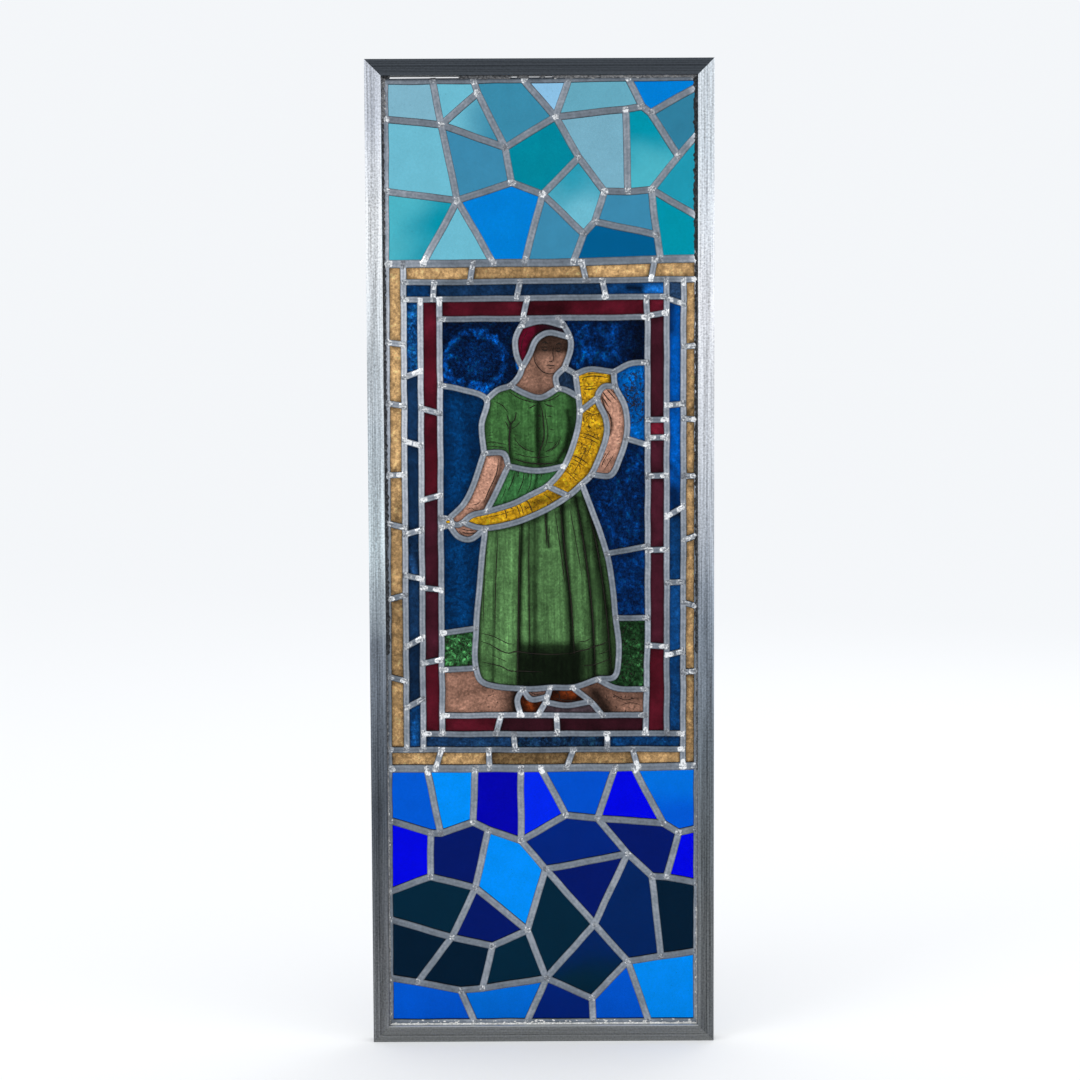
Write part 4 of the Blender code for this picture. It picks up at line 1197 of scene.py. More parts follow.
# %% [markdown]
# ## The painting
#
# Glass paint is ground glass and iron oxide, fired on. A painter uses it in two ways: as matt, a
# thin wash that is brushed and wiped into soft shade, and as trace lines, drawn thick and opaque
# with a long brush. An image of the painting could be laid over the glass, but it would be coarse
# near by. Here the shade is worked out on the corners of each front sheet from its distance to a
# few strokes, and the trace lines are thin raised ribbons of paint, as they are in life.

# %% Lay the matt
WIPED_CLEAR, DARKEST = 1.15, 0.02
HIDDEN_EDGE = 2.05
EDGE_FALL, STROKE_FALL = 1.4, 1.3


def smudged_ends(flat, strength, reach):
    """Uneven smudges of matt towards the two ends of a long narrow piece."""
    low, high = flat.min(0), flat.max(0)
    axis = int((high - low).argmax())
    away = np.minimum(flat[:, axis] - low[axis], high[axis] - flat[:, axis])
    uneven = np.array([noise.noise((x / 5, drop / 5, 17.0)) for x, drop in flat])
    return strength * np.clip((1 - away / reach) * np.clip(0.5 + 1.6 * uneven, 0, 1), 0, 1)


def lay_matt(flat, rim, ground, recipe):
    """The matt on each place of a front sheet. Every wash takes a share of the light that is left."""
    clear = np.full(len(flat), 1.0 - ground)
    strength, reach, *way = recipe.get("edge", (0.0, 1.0))
    away, _, gap = off_line(flat, rim + rim[:1])
    edge = strength * np.clip(1 - (away - HIDDEN_EDGE) / reach, 0, 1) ** EDGE_FALL
    if way:
        towards = -(gap @ np.array(way[0])) / np.maximum(away, 0.01)
        edge *= np.clip(0.25 + towards, 0, 1)
    clear *= 1 - edge
    if "ends" in recipe:
        clear *= 1 - smudged_ends(flat, *recipe["ends"])
    for strength, first, second, *line in recipe.get("shades", ()):
        away, right, _ = off_line(flat, fair_curve(line, 4))
        near = np.clip(1.15 - away / np.where(right, second, first), 0, 1)
        share = abs(strength) * near ** STROKE_FALL
        clear += (WIPED_CLEAR - clear) * share if strength < 0 else -clear * np.clip(share, 0, 0.97)
    for strength, soft, low, high in recipe.get("pools", ()):
        centre, half = (np.array(low) + high) / 2, (np.array(high) - low) / 2
        inside = (half - np.abs(flat - centre)).min(1)
        share = np.clip(inside / soft + 0.5, 0, 1)
        clear *= 1 - strength * share * share * (3 - 2 * share)
    return 1 - np.clip(clear, DARKEST, WIPED_CLEAR)


print("matt hides behind the lead for", HIDDEN_EDGE, "mm")

# %% [markdown]
# A trace line is one pull of a long brush, so it starts and ends in a point and is never quite even.
# A curve with a round bevel would be quicker, but it would stand too proud. Each stroke here is a low
# ribbon with a ridge along its middle, and its foot is sunk into the glass.

# %% Draw the trace lines
TRACE_BASE, TRACE_TOP, TRACE_MARGIN, TRACE_STEP = 1.4, 1.64, 1.5, 1.3


def draw_trace(width, line, rim, places, faces):
    """One ribbon of paint with pointed ends, sunk a little into the glass and kept inside the rim."""
    line = (fair_curve if len(line) > 2 else straight_run)(line, TRACE_STEP)
    line = [place for place in line if holds(rim, place)]
    count = len(line)
    if count < 2:
        return
    start = len(places)
    for index, (x, drop) in enumerate(line):
        a, b = line[max(0, index - 1)], line[min(count - 1, index + 1)]
        length = math.dist(a, b)
        across = ((a[1] - b[1]) / length, (b[0] - a[0]) / length)
        swell = min(1.0, 0.3 + 3.2 * min(index, count - 1 - index) / count)
        half = width / 2 * swell * (1 + 0.35 * noise.noise((x / 2, drop / 2, 1.0)))
        places.append((x - across[0] * half, -TRACE_BASE, drop - across[1] * half))
        places.append((x, -TRACE_TOP, drop))
        places.append((x + across[0] * half, -TRACE_BASE, drop + across[1] * half))
    skin(faces, start, count, 3, capped=True)


def curls(seed, count, low, high, size, width):
    """Small loose curls of paint inside a box."""
    hand = random.Random(seed)
    made = []
    for _ in range(count):
        x, drop = hand.uniform(low[0], high[0]), hand.uniform(low[1], high[1])
        turn, bow = hand.uniform(0, math.tau), hand.uniform(-2.2, 2.2)
        line = [(x, drop)]
        for _ in range(3):
            x, drop = line[-1]
            line.append((x + size / 3 * math.cos(turn), drop + size / 3 * math.sin(turn)))
            turn += bow / 2
        made.append((width * hand.uniform(0.7, 1.2), *line))
    return made


def hatching(start, end, count, length, turn, width, seed=1):
    """Short strokes side by side from one place to another."""
    hand = random.Random(seed)
    made = []
    for index in range(count):
        x, drop = between(start, end, index / max(1, count - 1))
        reach = length * hand.uniform(0.6, 1.1)
        lean = math.radians(turn + hand.uniform(-8, 8))
        made.append((width, (x, drop), (x + reach * math.cos(lean), drop + reach * math.sin(lean))))
    return made


def count_strokes(*recipes):
    return sum(len(recipe["traces"]) for recipe in recipes)


paint_finish, tree, shader = plain_shader("trace_paint")
grain = cloudiness(tree, add_node(tree, "TexCoord").outputs["Object"], 1.5, 0.15)
PAINT_TONES = [(0.0, (0.006, 0.004, 0.003)), (1.0, (0.022, 0.013, 0.009))]
colour = colour_ramp(tree, sum_up(tree, "ADD", grain, 0.5), PAINT_TONES)
tree.links.new(colour, shader.inputs["Base Color"])
shader.inputs["Roughness"].default_value = 0.55
shader.inputs["Specular IOR Level"].default_value = 0.2
print("a tuft of hatching has", len(hatching((0, 0), (5, 0), 6, 3, 90, 0.5)), "strokes")

# %% [markdown]
# The head is on ordinary drawing-book proportions: the eyes lie half way down it, the nose ends half
# way from them to the chin, and the mouth is a third of the way on. The lids are lowered over the
# work. The upper half lies in the shade of the headscarf.

# %% Paint the head
HEAD_HEIGHT = 50.0
EYE_LINE, HEAD_LEAN = (11.0, 289.5), math.radians(5)


def on_face(across, down):
    """A place on the face, in shares of the head's height from between the eyes."""
    u, v = across * HEAD_HEIGHT, down * HEAD_HEIGHT
    return (EYE_LINE[0] + u * math.cos(HEAD_LEAN) - v * math.sin(HEAD_LEAN),
            EYE_LINE[1] + u * math.sin(HEAD_LEAN) + v * math.cos(HEAD_LEAN))


def face_line(width, *line):
    """A stroke whose places are given in shares of the head's height."""
    return (width, *(on_face(*place) for place in line))


def face_strokes():
    eye, nose, mouth, chin = 0.0, 0.25, 0.335, 0.5
    made = []
    for side, inner, outer in ((-1, -0.07, -0.21), (1, 0.085, 0.2)):
        middle = (inner + outer) / 2
        made.append(face_line(1.3, (inner, eye + 0.015), (middle, eye + 0.04), (outer, eye + 0.01)))
        made.append(face_line(0.8, (inner, eye - 0.005), (middle, eye - 0.035), (outer, eye - 0.005)))
        made.append(face_line(1.2, (inner, eye - 0.095), (middle, eye - 0.13), (outer, eye - 0.095)))
        lashes = on_face(inner, eye + 0.04), on_face(outer, eye + 0.03)
        made += hatching(*lashes, 5, 1.0, 90, 0.35, seed=3 + side)
    made.append(face_line(0.8, (0.035, eye - 0.06), (0.04, 0.12), (0.06, 0.2), (0.045, 0.235)))
    made.append(face_line(1.0, (-0.035, nose - 0.01), (0.0, nose + 0.005), (0.045, nose - 0.015)))
    made.append(face_line(1.1, (-0.075, mouth), (-0.02, mouth - 0.01), (0.015, mouth),
                          (0.05, mouth - 0.01), (0.095, mouth - 0.003)))
    made.append(face_line(0.8, (-0.03, mouth + 0.045), (0.01, mouth + 0.055), (0.05, mouth + 0.043)))
    made.append(face_line(0.9, (-0.36, 0.12), (-0.3, 0.3), (-0.15, 0.46), (0.0, chin), (0.12, 0.47),
                          (0.22, 0.36)))
    return made


FACE_RECIPE = {
    "edge": (0.6, 3.0),
    "ground": 0.55,
    "pools": [(0.85, 9.0, (-80, 180), (90, 294))],
    "shades": [
        (0.4, 6, 6, on_face(-0.3, -0.3), on_face(0, -0.34), on_face(0.3, -0.28)),
        (0.35, 4, 7, (-6, 296), (-4, 310), (0, 330)),
        (0.3, 3, 4, on_face(0.05, 0.0), on_face(0.08, 0.2)),
        (0.3, 4, 4, on_face(0.27, -0.1), on_face(0.28, 0.15), on_face(0.2, 0.38)),
        (0.3, 2.5, 4, on_face(-0.25, 0.34), on_face(-0.08, 0.52), on_face(0.08, 0.53), on_face(0.2, 0.42)),
        (0.25, 2, 3, on_face(-0.06, 0.36), on_face(0.07, 0.36)),
        (0.35, 2, 5, (-26, 322), (-12, 331), (4, 333), (13, 326)),
        (0.3, 4, 4, (-13, 300), (-19, 312), (-25, 319)),
    ],
    "traces": face_strokes() + hatching((-20, 311), (-12, 299), 6, 2.4, 20, 0.4, seed=8),
}
HEADSCARF_RECIPE = {
    "ground": 0.64, "edge": (0.6, 2.5), "grain": 0.7,
    "pools": [(0.7, 5.0, (-6, 200), (80, 340))],
    "shades": [
        (0.6, 3, 4, (-14, 290), (-7, 279), (4, 271)),
    ],
    "traces": [(0.7, (-16, 300), (-13, 288), (-6, 276), (4, 269)),
               (0.6, (-20, 292), (-18, 280), (-12, 270))],
}
print("strokes on the head", count_strokes(FACE_RECIPE, HEADSCARF_RECIPE))

# %% [markdown]
# The dress has a fitted bodice with short sleeves, and a long skirt in deep folds. Folds are shaded
# on one side more than the other, which makes them look round.

# %% Paint the dress
BODICE_RECIPE = {
    "ground": 0.2, "edge": (0.6, 3.2),
    "shades": [
        (0.88, 2.4, 3.4, (-31, 364), (-32, 380), (-31, 399)),
        (0.85, 3.5, 8.5, (-3, 343), (-4, 360), (-4, 380), (-3, 404)),
        (0.8, 5, 5, (27, 352), (29, 368), (25, 388), (17, 402)),
        (0.65, 8, 8, (30, 336), (33, 352), (32, 372), (27, 392)),
        (0.5, 7, 3, (-28, 400), (-8, 405), (18, 404)),
        (0.25, 4, 3, (-50, 345), (-54, 362), (-53, 384)),
        (0.3, 4, 7, (-24, 378), (-17, 388), (-6, 394)),
        (0.28, 5, 4, (18, 380), (12, 389), (2, 395)),
        (0.22, 3, 3, (-40, 346), (-33, 352), (-27, 360)),
        (-0.14, 5, 5, (-45, 350), (-46, 366), (-45, 380)),
        (-0.12, 5, 5, (-17, 352), (-19, 368), (-16, 382)),
        (-0.12, 5, 5, (14, 348), (15, 364), (12, 378)),
    ],
    "traces": [
        (1.0, (-33, 331.5), (-22, 338.7), (-9, 342.8), (-3, 343.8)),
        (1.0, (3, 342.6), (12, 340), (20.5, 334.5)),
        (1.3, (-1.5, 344), (1.5, 353), (2.5, 364), (3.2, 374), (1.5, 385), (-1.5, 393), (-3.5, 405)),
        (0.8, (4, 350), (5.5, 362), (7, 372), (5.5, 384), (2, 392)),
        (1.1, (3.5, 344.5), (8, 346.5), (13.5, 347.4)), (1.1, (-5, 346), (-9, 347.5), (-12.5, 349.5)),
        (1.7, (-30.5, 364), (-32, 376), (-32, 396)), (1.3, (-34.6, 355), (-33, 360), (-30.8, 365)),
        (1.2, (-25, 352.5), (-26, 359), (-30.5, 365.5)), (1.0, (-36.5, 362), (-34, 366), (-32.5, 370)),
        (0.8, (-20.5, 362), (-25, 367), (-30, 370)),
        (0.7, (-47, 342), (-39, 346), (-33.5, 353)),
        (0.8, (-55.5, 383.4), (-45, 384), (-34.5, 386)),
        (0.8, (-55.5, 387.2), (-45, 387.8), (-34.5, 389.4)),
        (0.9, (-23, 386), (-15, 391), (-6, 393.6)), (0.8, (-27, 379), (-22, 386), (-14, 392)),
        (0.9, (17, 383), (11, 390), (3, 393.8)), (0.7, (20, 378), (17, 386), (9, 393)),
        (0.8, (-27, 394.5), (-14, 398), (0, 399), (13, 397)),
        (1.3, (-29, 399.5), (-15, 404), (0, 405.5), (16, 404.5)),
        (0.9, (6, 357), (11, 357.4)), (0.8, (8.5, 370.4), (13, 371)), (0.8, (7, 383.6), (12.5, 383.8)),
    ] + [(0.8, (-3.4, drop), (-1.2, drop - 1), (-1.6, drop + 1.2)) for drop in (357, 370, 383)]
    + hatching((-54, 374), (-54, 382), 4, 8, 2, 0.45, seed=4)
    + hatching((-28, 372), (-28, 392), 7, 5, 14, 0.45, seed=5)
    + hatching((21, 392), (16, 400), 4, 6, -20, 0.5, seed=6),
}
WAIST_RECIPE = {
    "ground": 0.3, "edge": (0.6, 3.0),
    "shades": [
        (0.85, 2.2, 3.0, (-3, 409), (-5, 420), (-8, 436)),
        (0.45, 1.5, 3, (-24, 411), (-30, 426), (-38, 444)),
        (0.35, 1.5, 2.5, (-13, 411), (-17, 424), (-22, 440)),
        (0.4, 4, 3, (-50, 449), (-30, 443), (-8, 434)),
    ],
    "traces": [
        (0.9, (-26, 412), (-29, 422), (-34, 434)), (0.7, (-22, 411.5), (-24, 419)),
        (0.9, (-17, 412), (-19, 424), (-24, 436)),
        (0.7, (-12, 412), (-13.5, 420)), (0.8, (-9.5, 412.5), (-11, 426), (-14, 434)),
        (0.7, (1, 414), (-1, 422)),
        (0.6, (-34, 424), (-38, 436), (-42, 444)),
    ],
}
SKIRT_RECIPE = {
    "ground": 0.37, "edge": (0.7, 3.6),
    "pools": [(0.8, 9.0, (-25, 588), (40, 800)), (0.8, 22.0, (-26, 594), (43, 800)),
              (0.62, 12.0, (34, 594), (57, 800))],
    "shades": [
        (0.55, 2.5, 2.5, (-58, 476), (-62, 540), (-64, 636)),
        (0.6, 1.8, 3.4, (-46, 474), (-48.5, 530), (-51, 636)),
        (0.95, 3.2, 4.4, (-20, 468), (-22, 530), (-24, 640)),
        (0.8, 2.2, 2.2, (-12.5, 466), (-13, 520), (-12.5, 600)),
        (0.75, 5, 6, (-7, 463), (-7.5, 520), (-7, 600)),
        (0.85, 2.4, 2.4, (5, 454), (5.5, 470), (7.5, 490)),
        (0.96, 6, 6, (21, 446), (23, 490), (28, 540), (31, 600)),
        (0.95, 4.5, 4.5, (35, 440), (43, 486), (50, 548), (54, 640)),
        (0.9, 9, 6, (47, 440), (57, 494), (67, 560), (72, 640)),
        (0.5, 26, 14, (46, 440), (57, 500), (64, 560), (68, 640)),
        (0.5, 6, 3, (-52, 470), (-20, 466), (20, 452), (38, 440)),
        (-0.5, 7, 7, (-33, 480), (-34, 530), (-36, 600)),
        (-0.3, 3, 3, (-17, 500), (-17, 540), (-17, 580)),
        (-0.35, 3.5, 3.5, (13, 480), (14, 530), (15, 585)),
        (0.4, 8, 8, (-60, 606), (-45, 618), (-30, 628)),
    ],
    "traces": [
        (0.9, (-44, 474), (-46.5, 520), (-48, 580)), (0.7, (-55, 480), (-58.5, 530), (-60, 575)),
        (1.3, (-22, 470), (-23.5, 530), (-25, 632)), (0.8, (-12.6, 468), (-13, 520), (-12.6, 592)),
        (1.3, (3.6, 457), (4.8, 472), (5.5, 489)), (0.8, (8, 466), (7.6, 482), (7, 491)),
        (1.3, (19, 450), (24.5, 500), (30, 548), (33, 600)),
        (1.2, (36, 446), (44, 494), (51, 552), (55, 628)),
        (1.0, (48, 450), (58, 500), (66, 560), (71, 622)), (0.8, (13.5, 452), (19, 490), (24, 530)),
        (0.8, (28, 446), (36, 490), (41, 520)),
        (0.8, (-62, 578), (-50, 581), (-40, 586), (-33, 589), (-27, 589)),
        (1.2, (-63, 586), (-52, 590), (-42, 596), (-34, 598.5), (-27, 597), (-10, 599), (10, 600),
         (30, 599)),
        (0.6, (-52, 600), (-43, 604), (-34, 608.5)),
        (1.1, (-63, 607), (-52, 609.5), (-42, 612), (-33, 616.5), (-20, 617), (0, 618)),
        (0.8, (37, 587), (44, 586.5), (50, 584)),
        (1.2, (30, 599), (38, 596.5), (45, 595.5), (52, 592.5), (61, 590), (69, 586)),
        (0.9, (40, 612), (52, 611), (62, 608), (71, 604)), (0.7, (57, 600), (64, 598), (70, 595)),
    ],
}
print("strokes on the dress", count_strokes(BODICE_RECIPE, WAIST_RECIPE, SKIRT_RECIPE))

# %% [markdown]
# Skin is stippled: the matt is dabbed with a dry brush, so it is grainy and stays light in the
# middle of a limb. The fingers are a few dark lines.

# %% Paint the arms and feet
RIGHT_ARM_RECIPE = {
    "ground": 0.12, "edge": (0.7, 5.0, (0.9, 0.1)),
    "shades": [
        (0.9, 1.6, 3.0, (60.5, 336), (64, 348), (70.5, 360), (71.5, 368), (69, 376)),
        (0.35, 3.5, 4.5, (63, 388), (60, 402), (57, 412)),
        (0.4, 6, 4, (72, 402), (66, 412), (58, 415)),
        (0.25, 3, 3, (72, 382), (69, 394), (66, 404)),
    ],
    "traces": [
        (1.2, (61.5, 331), (66, 337.5), (71.5, 343.5)), (1.2, (66, 329.5), (71.5, 335.5), (76.5, 341.5)),
        (1.1, (61.5, 337.5), (65.5, 343), (68.5, 348.5)), (0.9, (70.5, 330.5), (75, 334.5)),
        (1.0, (61.5, 338), (64.5, 348), (70.5, 359), (71, 369)),
        (0.7, (70, 392), (65, 400), (60.5, 410)), (0.6, (74, 396), (69, 404), (64, 412)),
        (0.6, (66, 394), (62, 402)),
    ] + hatching((81, 352), (80, 392), 12, 3.0, 150, 0.4, seed=11)
    + hatching((62, 404), (70, 398), 6, 4, 70, 0.45, seed=12),
}
LEFT_ARM_RECIPE = {
    "ground": 0.1, "edge": (0.7, 4.5),
    "shades": [
        (0.75, 4.0, 3.0, (-39.5, 398), (-43, 416), (-52, 436), (-59, 452)),
        (0.3, 3, 3, (-56, 400), (-64, 420), (-73, 442)),
        (0.4, 3, 4, (-68, 452), (-62, 447), (-57, 442)),
    ],
    "traces": [
        (1.0, (-43, 400), (-45, 414), (-53, 432), (-59, 446)),
        (0.7, (-70, 447), (-65, 446), (-61, 442)), (0.6, (-76, 452), (-71, 450), (-68, 452)),
    ] + hatching((-58, 404), (-70, 436), 10, 2.6, 25, 0.4, seed=13)
    + hatching((-46, 402), (-58, 440), 9, 2.6, 205, 0.4, seed=14),
}
LEFT_HAND_RECIPE = {
    "ground": 0.32, "edge": (0.6, 2.6),
    "shades": [(0.5, 3, 3, (-66, 474), (-73, 477), (-82, 474))],
    "traces": [
        (0.9, (-82, 471), (-76, 472.5), (-68, 473)), (0.9, (-81, 474.5), (-75, 476), (-66, 475.5)),
        (0.7, (-84, 473), (-79, 478), (-73, 479)),
    ],
}
INSTEP_RECIPE = {"ground": 0.0, "edge": (0.5, 3.0),
                 "traces": [(0.7, (-14, 637), (-7, 641), (2, 640)), (0.7, (-4, 636), (2, 637.5))]}
SHOE_RECIPE = {
    "ground": 0.84, "edge": (0.65, 4.0),
    "shades": [(0.6, 4, 5, (10, 640), (22, 642.5), (40, 645)), (-0.4, 5, 5, (22, 640), (32, 641)),
               (-0.4, 5, 5, (-13, 649), (-12, 654))],
    "traces": [(1.0, (9, 644), (22, 647), (40, 648)), (0.7, (14, 637), (18, 642), (17, 646)),
               (0.6, (24, 638), (27, 643))],
}
print("strokes on the skin", count_strokes(RIGHT_ARM_RECIPE, LEFT_ARM_RECIPE, LEFT_HAND_RECIPE))

# %% [markdown]
# The horn is yellow glass, dark along its under side so that it looks round, with double bands
# across it and a loose curly grain all over.

# %% Paint the horn
HORN_BELL_RECIPE = {
    "ground": 0.24, "edge": (0.6, 3.4, (0.9, 0.45)),
    "shades": [(0.8, 4, 8, (71, 314), (70, 326)), (0.3, 2, 2, (42, 317), (55, 315.6), (68, 317.5))],
    "traces": [
        (1.0, (41, 318.5), (54, 316.8), (68, 318.5)), (0.6, (42, 315.4), (54, 314), (66, 315)),
        (0.8, (41.5, 329.5), (48, 330.5), (56, 329)), (0.6, (41.5, 326), (49, 327.4), (57, 326)),
    ] + curls(21, 34, (42, 319), (64, 342), 3.6, 0.55),
}
HORN_BODY_RECIPE = {
    "ground": 0.27, "edge": (0.75, 4.6, (0.93, 0.37)),
    "shades": [(0.3, 2.5, 2.5, (41, 374), (50, 376.5), (61, 382)),
               (0.35, 2.5, 2.5, (31, 397), (40, 401), (48, 406)),
               (0.4, 6, 4, (24, 428), (12, 424), (20, 414))],
    "traces": [
        (0.9, (41, 374), (50, 377), (61, 382.5)), (0.8, (40, 378), (49, 380.5), (58, 385.5)),
        (0.9, (32, 396.5), (40, 400.5), (48, 406)), (0.8, (31, 400), (38, 404), (45, 409)),
        (0.8, (44, 352), (53, 355.5), (62, 354)), (0.7, (25, 412), (33, 420), (38, 424)),
        (0.7, (47, 386), (40, 402), (31, 418)), (0.6, (52, 384), (46, 398)),
    ] + curls(22, 60, (42, 346), (60, 378), 3.8, 0.55) + curls(23, 34, (36, 382), (52, 398), 3.6, 0.55)
    + curls(24, 26, (22, 402), (42, 420), 3.6, 0.5),
}
HORN_TAIL_RECIPE = {
    "ground": 0.27, "edge": (0.7, 3.0, (0.3, 0.95)),
    "shades": [(0.6, 6, 8, (-8, 447), (4, 442), (17, 437)), (0.4, 3, 3, (-16, 441), (-11, 450), (-8, 456)),
               (0.3, 2, 2, (-38, 449), (-35, 458))],
    "traces": [
        (1.0, (-15.5, 441), (-11.5, 448), (-9, 455)), (0.8, (-23, 444), (-20, 450), (-18, 457)),
        (0.8, (-26, 445), (-23.5, 451), (-21.5, 458)), (0.8, (-38.5, 449.5), (-36, 455), (-35, 461)),
        (0.6, (-58, 460), (-40, 456.5), (-28, 452.5)), (0.7, (2, 436), (8, 440), (13, 446)),
    ] + curls(25, 26, (-34, 444), (12, 452), 3.4, 0.5),
}
print("strokes on the horn", count_strokes(HORN_BELL_RECIPE, HORN_BODY_RECIPE, HORN_TAIL_RECIPE))

# %% [markdown]
# Behind the figure lies a night sky of blue glass under broken matt. Dabs wiped out of the matt
# let the blue through. The ground is bare rock, with low leaves at both sides.

# %% Paint the sky and the ground
def ring_of_dabs(centre, radius, count, strength, size, seed):
    """Wiped dabs round a circle: strokes that take matt away."""
    hand = random.Random(seed)
    made = []
    for index in range(count):
        turn = math.tau * (index + hand.uniform(-0.3, 0.3)) / count
        reach = radius * hand.uniform(0.93, 1.08)
        x, drop = centre[0] + reach * math.cos(turn), centre[1] + reach * math.sin(turn)
        width = size * hand.uniform(0.6, 1.3)
        across = (width * 0.8 * math.sin(turn), -width * 0.8 * math.cos(turn))
        ends = (x - across[0], drop - across[1]), (x + across[0], drop + across[1])
        made.append((strength * hand.uniform(0.6, 1.2), width, width, *ends))
    return made


def wiped(seed, count, low, high, strength, size, lean=90.0):
    """Loose dabs wiped out of the matt inside a box."""
    hand = random.Random(seed)
    made = []
    for _ in range(count):
        x, drop = hand.uniform(low[0], high[0]), hand.uniform(low[1], high[1])
        turn, width = math.radians(lean + hand.uniform(-50, 50)), size * hand.uniform(0.6, 1.4)
        made.append((strength * hand.uniform(0.5, 1.2), width, width, (x, drop),
                     (x + 1.6 * width * math.cos(turn), drop + 1.6 * width * math.sin(turn))))
    return made


SKY_RECIPES = {
    "sky_top_left_glass": {
        "ground": 0.95, "edge": (0.3, 6.0),
        "shades": [(-0.1, 27, 27, (-67, 300), (-66, 301))]
        + ring_of_dabs((-66, 301), 30, 60, -0.2, 2.2, 31) + ring_of_dabs((-67, 301), 29, 22, -0.08, 4.0, 30)
        + wiped(32, 26, (-72, 322), (-56, 331), -0.3, 1.8)
        + wiped(47, 22, (-99, 294), (-90, 324), -0.3, 1.7)
        + wiped(48, 14, (-68, 270), (-56, 276), -0.25, 1.7)
        + wiped(49, 12, (-54, 274), (-42, 286), -0.2, 1.6)
        + wiped(50, 8, (-88, 318), (-78, 327), -0.25, 1.7)
        + wiped(51, 10, (-50, 266), (-28, 300), -0.15, 1.3)
        + [(-0.5, 1.6, 1.6, (-24, 303), (-23, 309))],
    },
    "sky_top_right_glass": {
        "ground": 0.93, "edge": (0.3, 6.0), "grain": 0.9,
        "shades": wiped(33, 34, (33, 266), (50, 302), -0.14, 2.4)
        + wiped(52, 30, (46, 266), (80, 298), -0.1, 4.0)
        + [(0.6, 16, 16, (100, 258), (99, 306)), (-0.3, 3, 3, (35, 304), (38, 307))],
    },
    "sky_shoulder_glass": {"ground": 0.83, "edge": (0.3, 3.0), "grain": 0.5},
    "sky_left_glass": {
        "ground": 0.87, "edge": (0.35, 8.0), "grain": 0.45,
        "shades": [(-0.08, 12, 12, (-88, 345), (-84, 400), (-88, 440))]
        + wiped(34, 16, (-98, 340), (-70, 440), -0.06, 3.4),
    },
    "sky_lower_left_glass": {
        "ground": 0.86, "edge": (0.35, 7.0), "grain": 0.5,
        "shades": [(-0.08, 10, 10, (-84, 490), (-83, 530), (-82, 560))]
        + wiped(35, 14, (-98, 486), (-70, 568), -0.06, 3.2),
    },
    "sky_horn_glass": {
        "ground": 0.43, "edge": (0.45, 4.0), "grain": 0.6,
        "shades": wiped(36, 10, (84, 312), (104, 322), -0.3, 2.6)
        + wiped(53, 16, (90, 362), (104, 382), -0.35, 2.6)
        + [(0.3, 7, 7, (92, 328), (97, 345), (98, 358))],
        "traces": curls(37, 130, (80, 314), (105, 366), 4.2, 0.9),
    },
    "sky_right_glass": {
        "ground": 0.9, "edge": (0.4, 7.0), "grain": 0.85,
        "shades": wiped(38, 60, (58, 420), (104, 486), -0.12, 2.4)
        + wiped(39, 14, (88, 390), (104, 415), -0.12, 2.2),
    },
    "sky_lower_right_glass": {
        "ground": 0.88, "edge": (0.35, 6.0), "grain": 0.75,
        "shades": wiped(40, 34, (76, 496), (104, 556), -0.1, 2.6),
    },
}
LEAVES = {
    "left_foliage_glass": {
        "ground": 0.7, "edge": (0.35, 4.0),
        "shades": wiped(41, 44, (-99, 582), (-72, 611), -0.5, 1.8, lean=20),
        "traces": curls(42, 90, (-99, 581), (-71, 612), 3.6, 0.75),
    },
    "right_foliage_glass": {
        "ground": 0.88, "edge": (0.3, 5.0),
        "shades": wiped(43, 30, (80, 586), (104, 630), -0.18, 1.9, lean=20),
        "traces": curls(44, 80, (80, 572), (104, 630), 3.6, 0.75),
    },
}
ROCKS = {
    "left_rock_glass": {
        "ground": 0.34, "edge": (0.45, 4.0),
        "shades": [(0.97, 20, 20, (-22, 632), (-26, 645), (-26, 664)),
                   (0.25, 5, 8, (-98, 634), (-80, 640), (-60, 636)),
                   (-0.12, 6, 6, (-90, 650), (-70, 654))],
        "traces": curls(45, 16, (-60, 626), (-30, 660), 3.5, 0.5),
    },
    "right_rock_glass": {
        "ground": 0.54, "edge": (0.4, 4.0),
        "shades": [(0.9, 15, 15, (54, 640), (62, 652), (66, 662)),
                   (-0.3, 5, 5, (84, 656), (96, 655), (104, 657)),
                   (0.3, 5, 5, (76, 644), (90, 646), (104, 643))],
        "traces": [(0.7, (72, 641), (84, 647), (96, 645)), (0.6, (80, 653), (90, 650), (100, 652))]
        + curls(46, 30, (62, 640), (104, 660), 3.5, 0.5),
    },
}
print("wiped dabs", sum(len(part.get("shades", ())) for part in (*SKY_RECIPES.values(), *LEAVES.values())))

# %% [markdown]
# A recipe says how one node of glass is painted. The ground is the weight of matt all over it, the
# edge gets darker beside the lead, and the shades, pools and traces are the strokes. The strips of
# the border are painted alike, so a loop makes their recipes from the tables above.

# %% Gather the recipes
RECIPES = {
    "face_glass": FACE_RECIPE, "headscarf_glass": HEADSCARF_RECIPE, "bodice_glass": BODICE_RECIPE,
    "waist_glass": WAIST_RECIPE, "skirt_glass": SKIRT_RECIPE, "right_arm_glass": RIGHT_ARM_RECIPE,
    "left_arm_glass": LEFT_ARM_RECIPE, "left_hand_glass": LEFT_HAND_RECIPE, "instep_glass": INSTEP_RECIPE,
    "left_shoe_glass": SHOE_RECIPE, "right_shoe_glass": SHOE_RECIPE,
    "right_sole_glass": {"ground": 0.1, "edge": (0.5, 3.0)},
    "horn_bell_glass": HORN_BELL_RECIPE, "horn_body_glass": HORN_BODY_RECIPE,
    "horn_tail_glass": HORN_TAIL_RECIPE,
    **SKY_RECIPES, **LEAVES, **ROCKS,
}
BORDER_EDGES = {"amber": (0.6, 3.2), "border_blue": (0.5, 2.6), "ruby": (0.5, 2.8)}
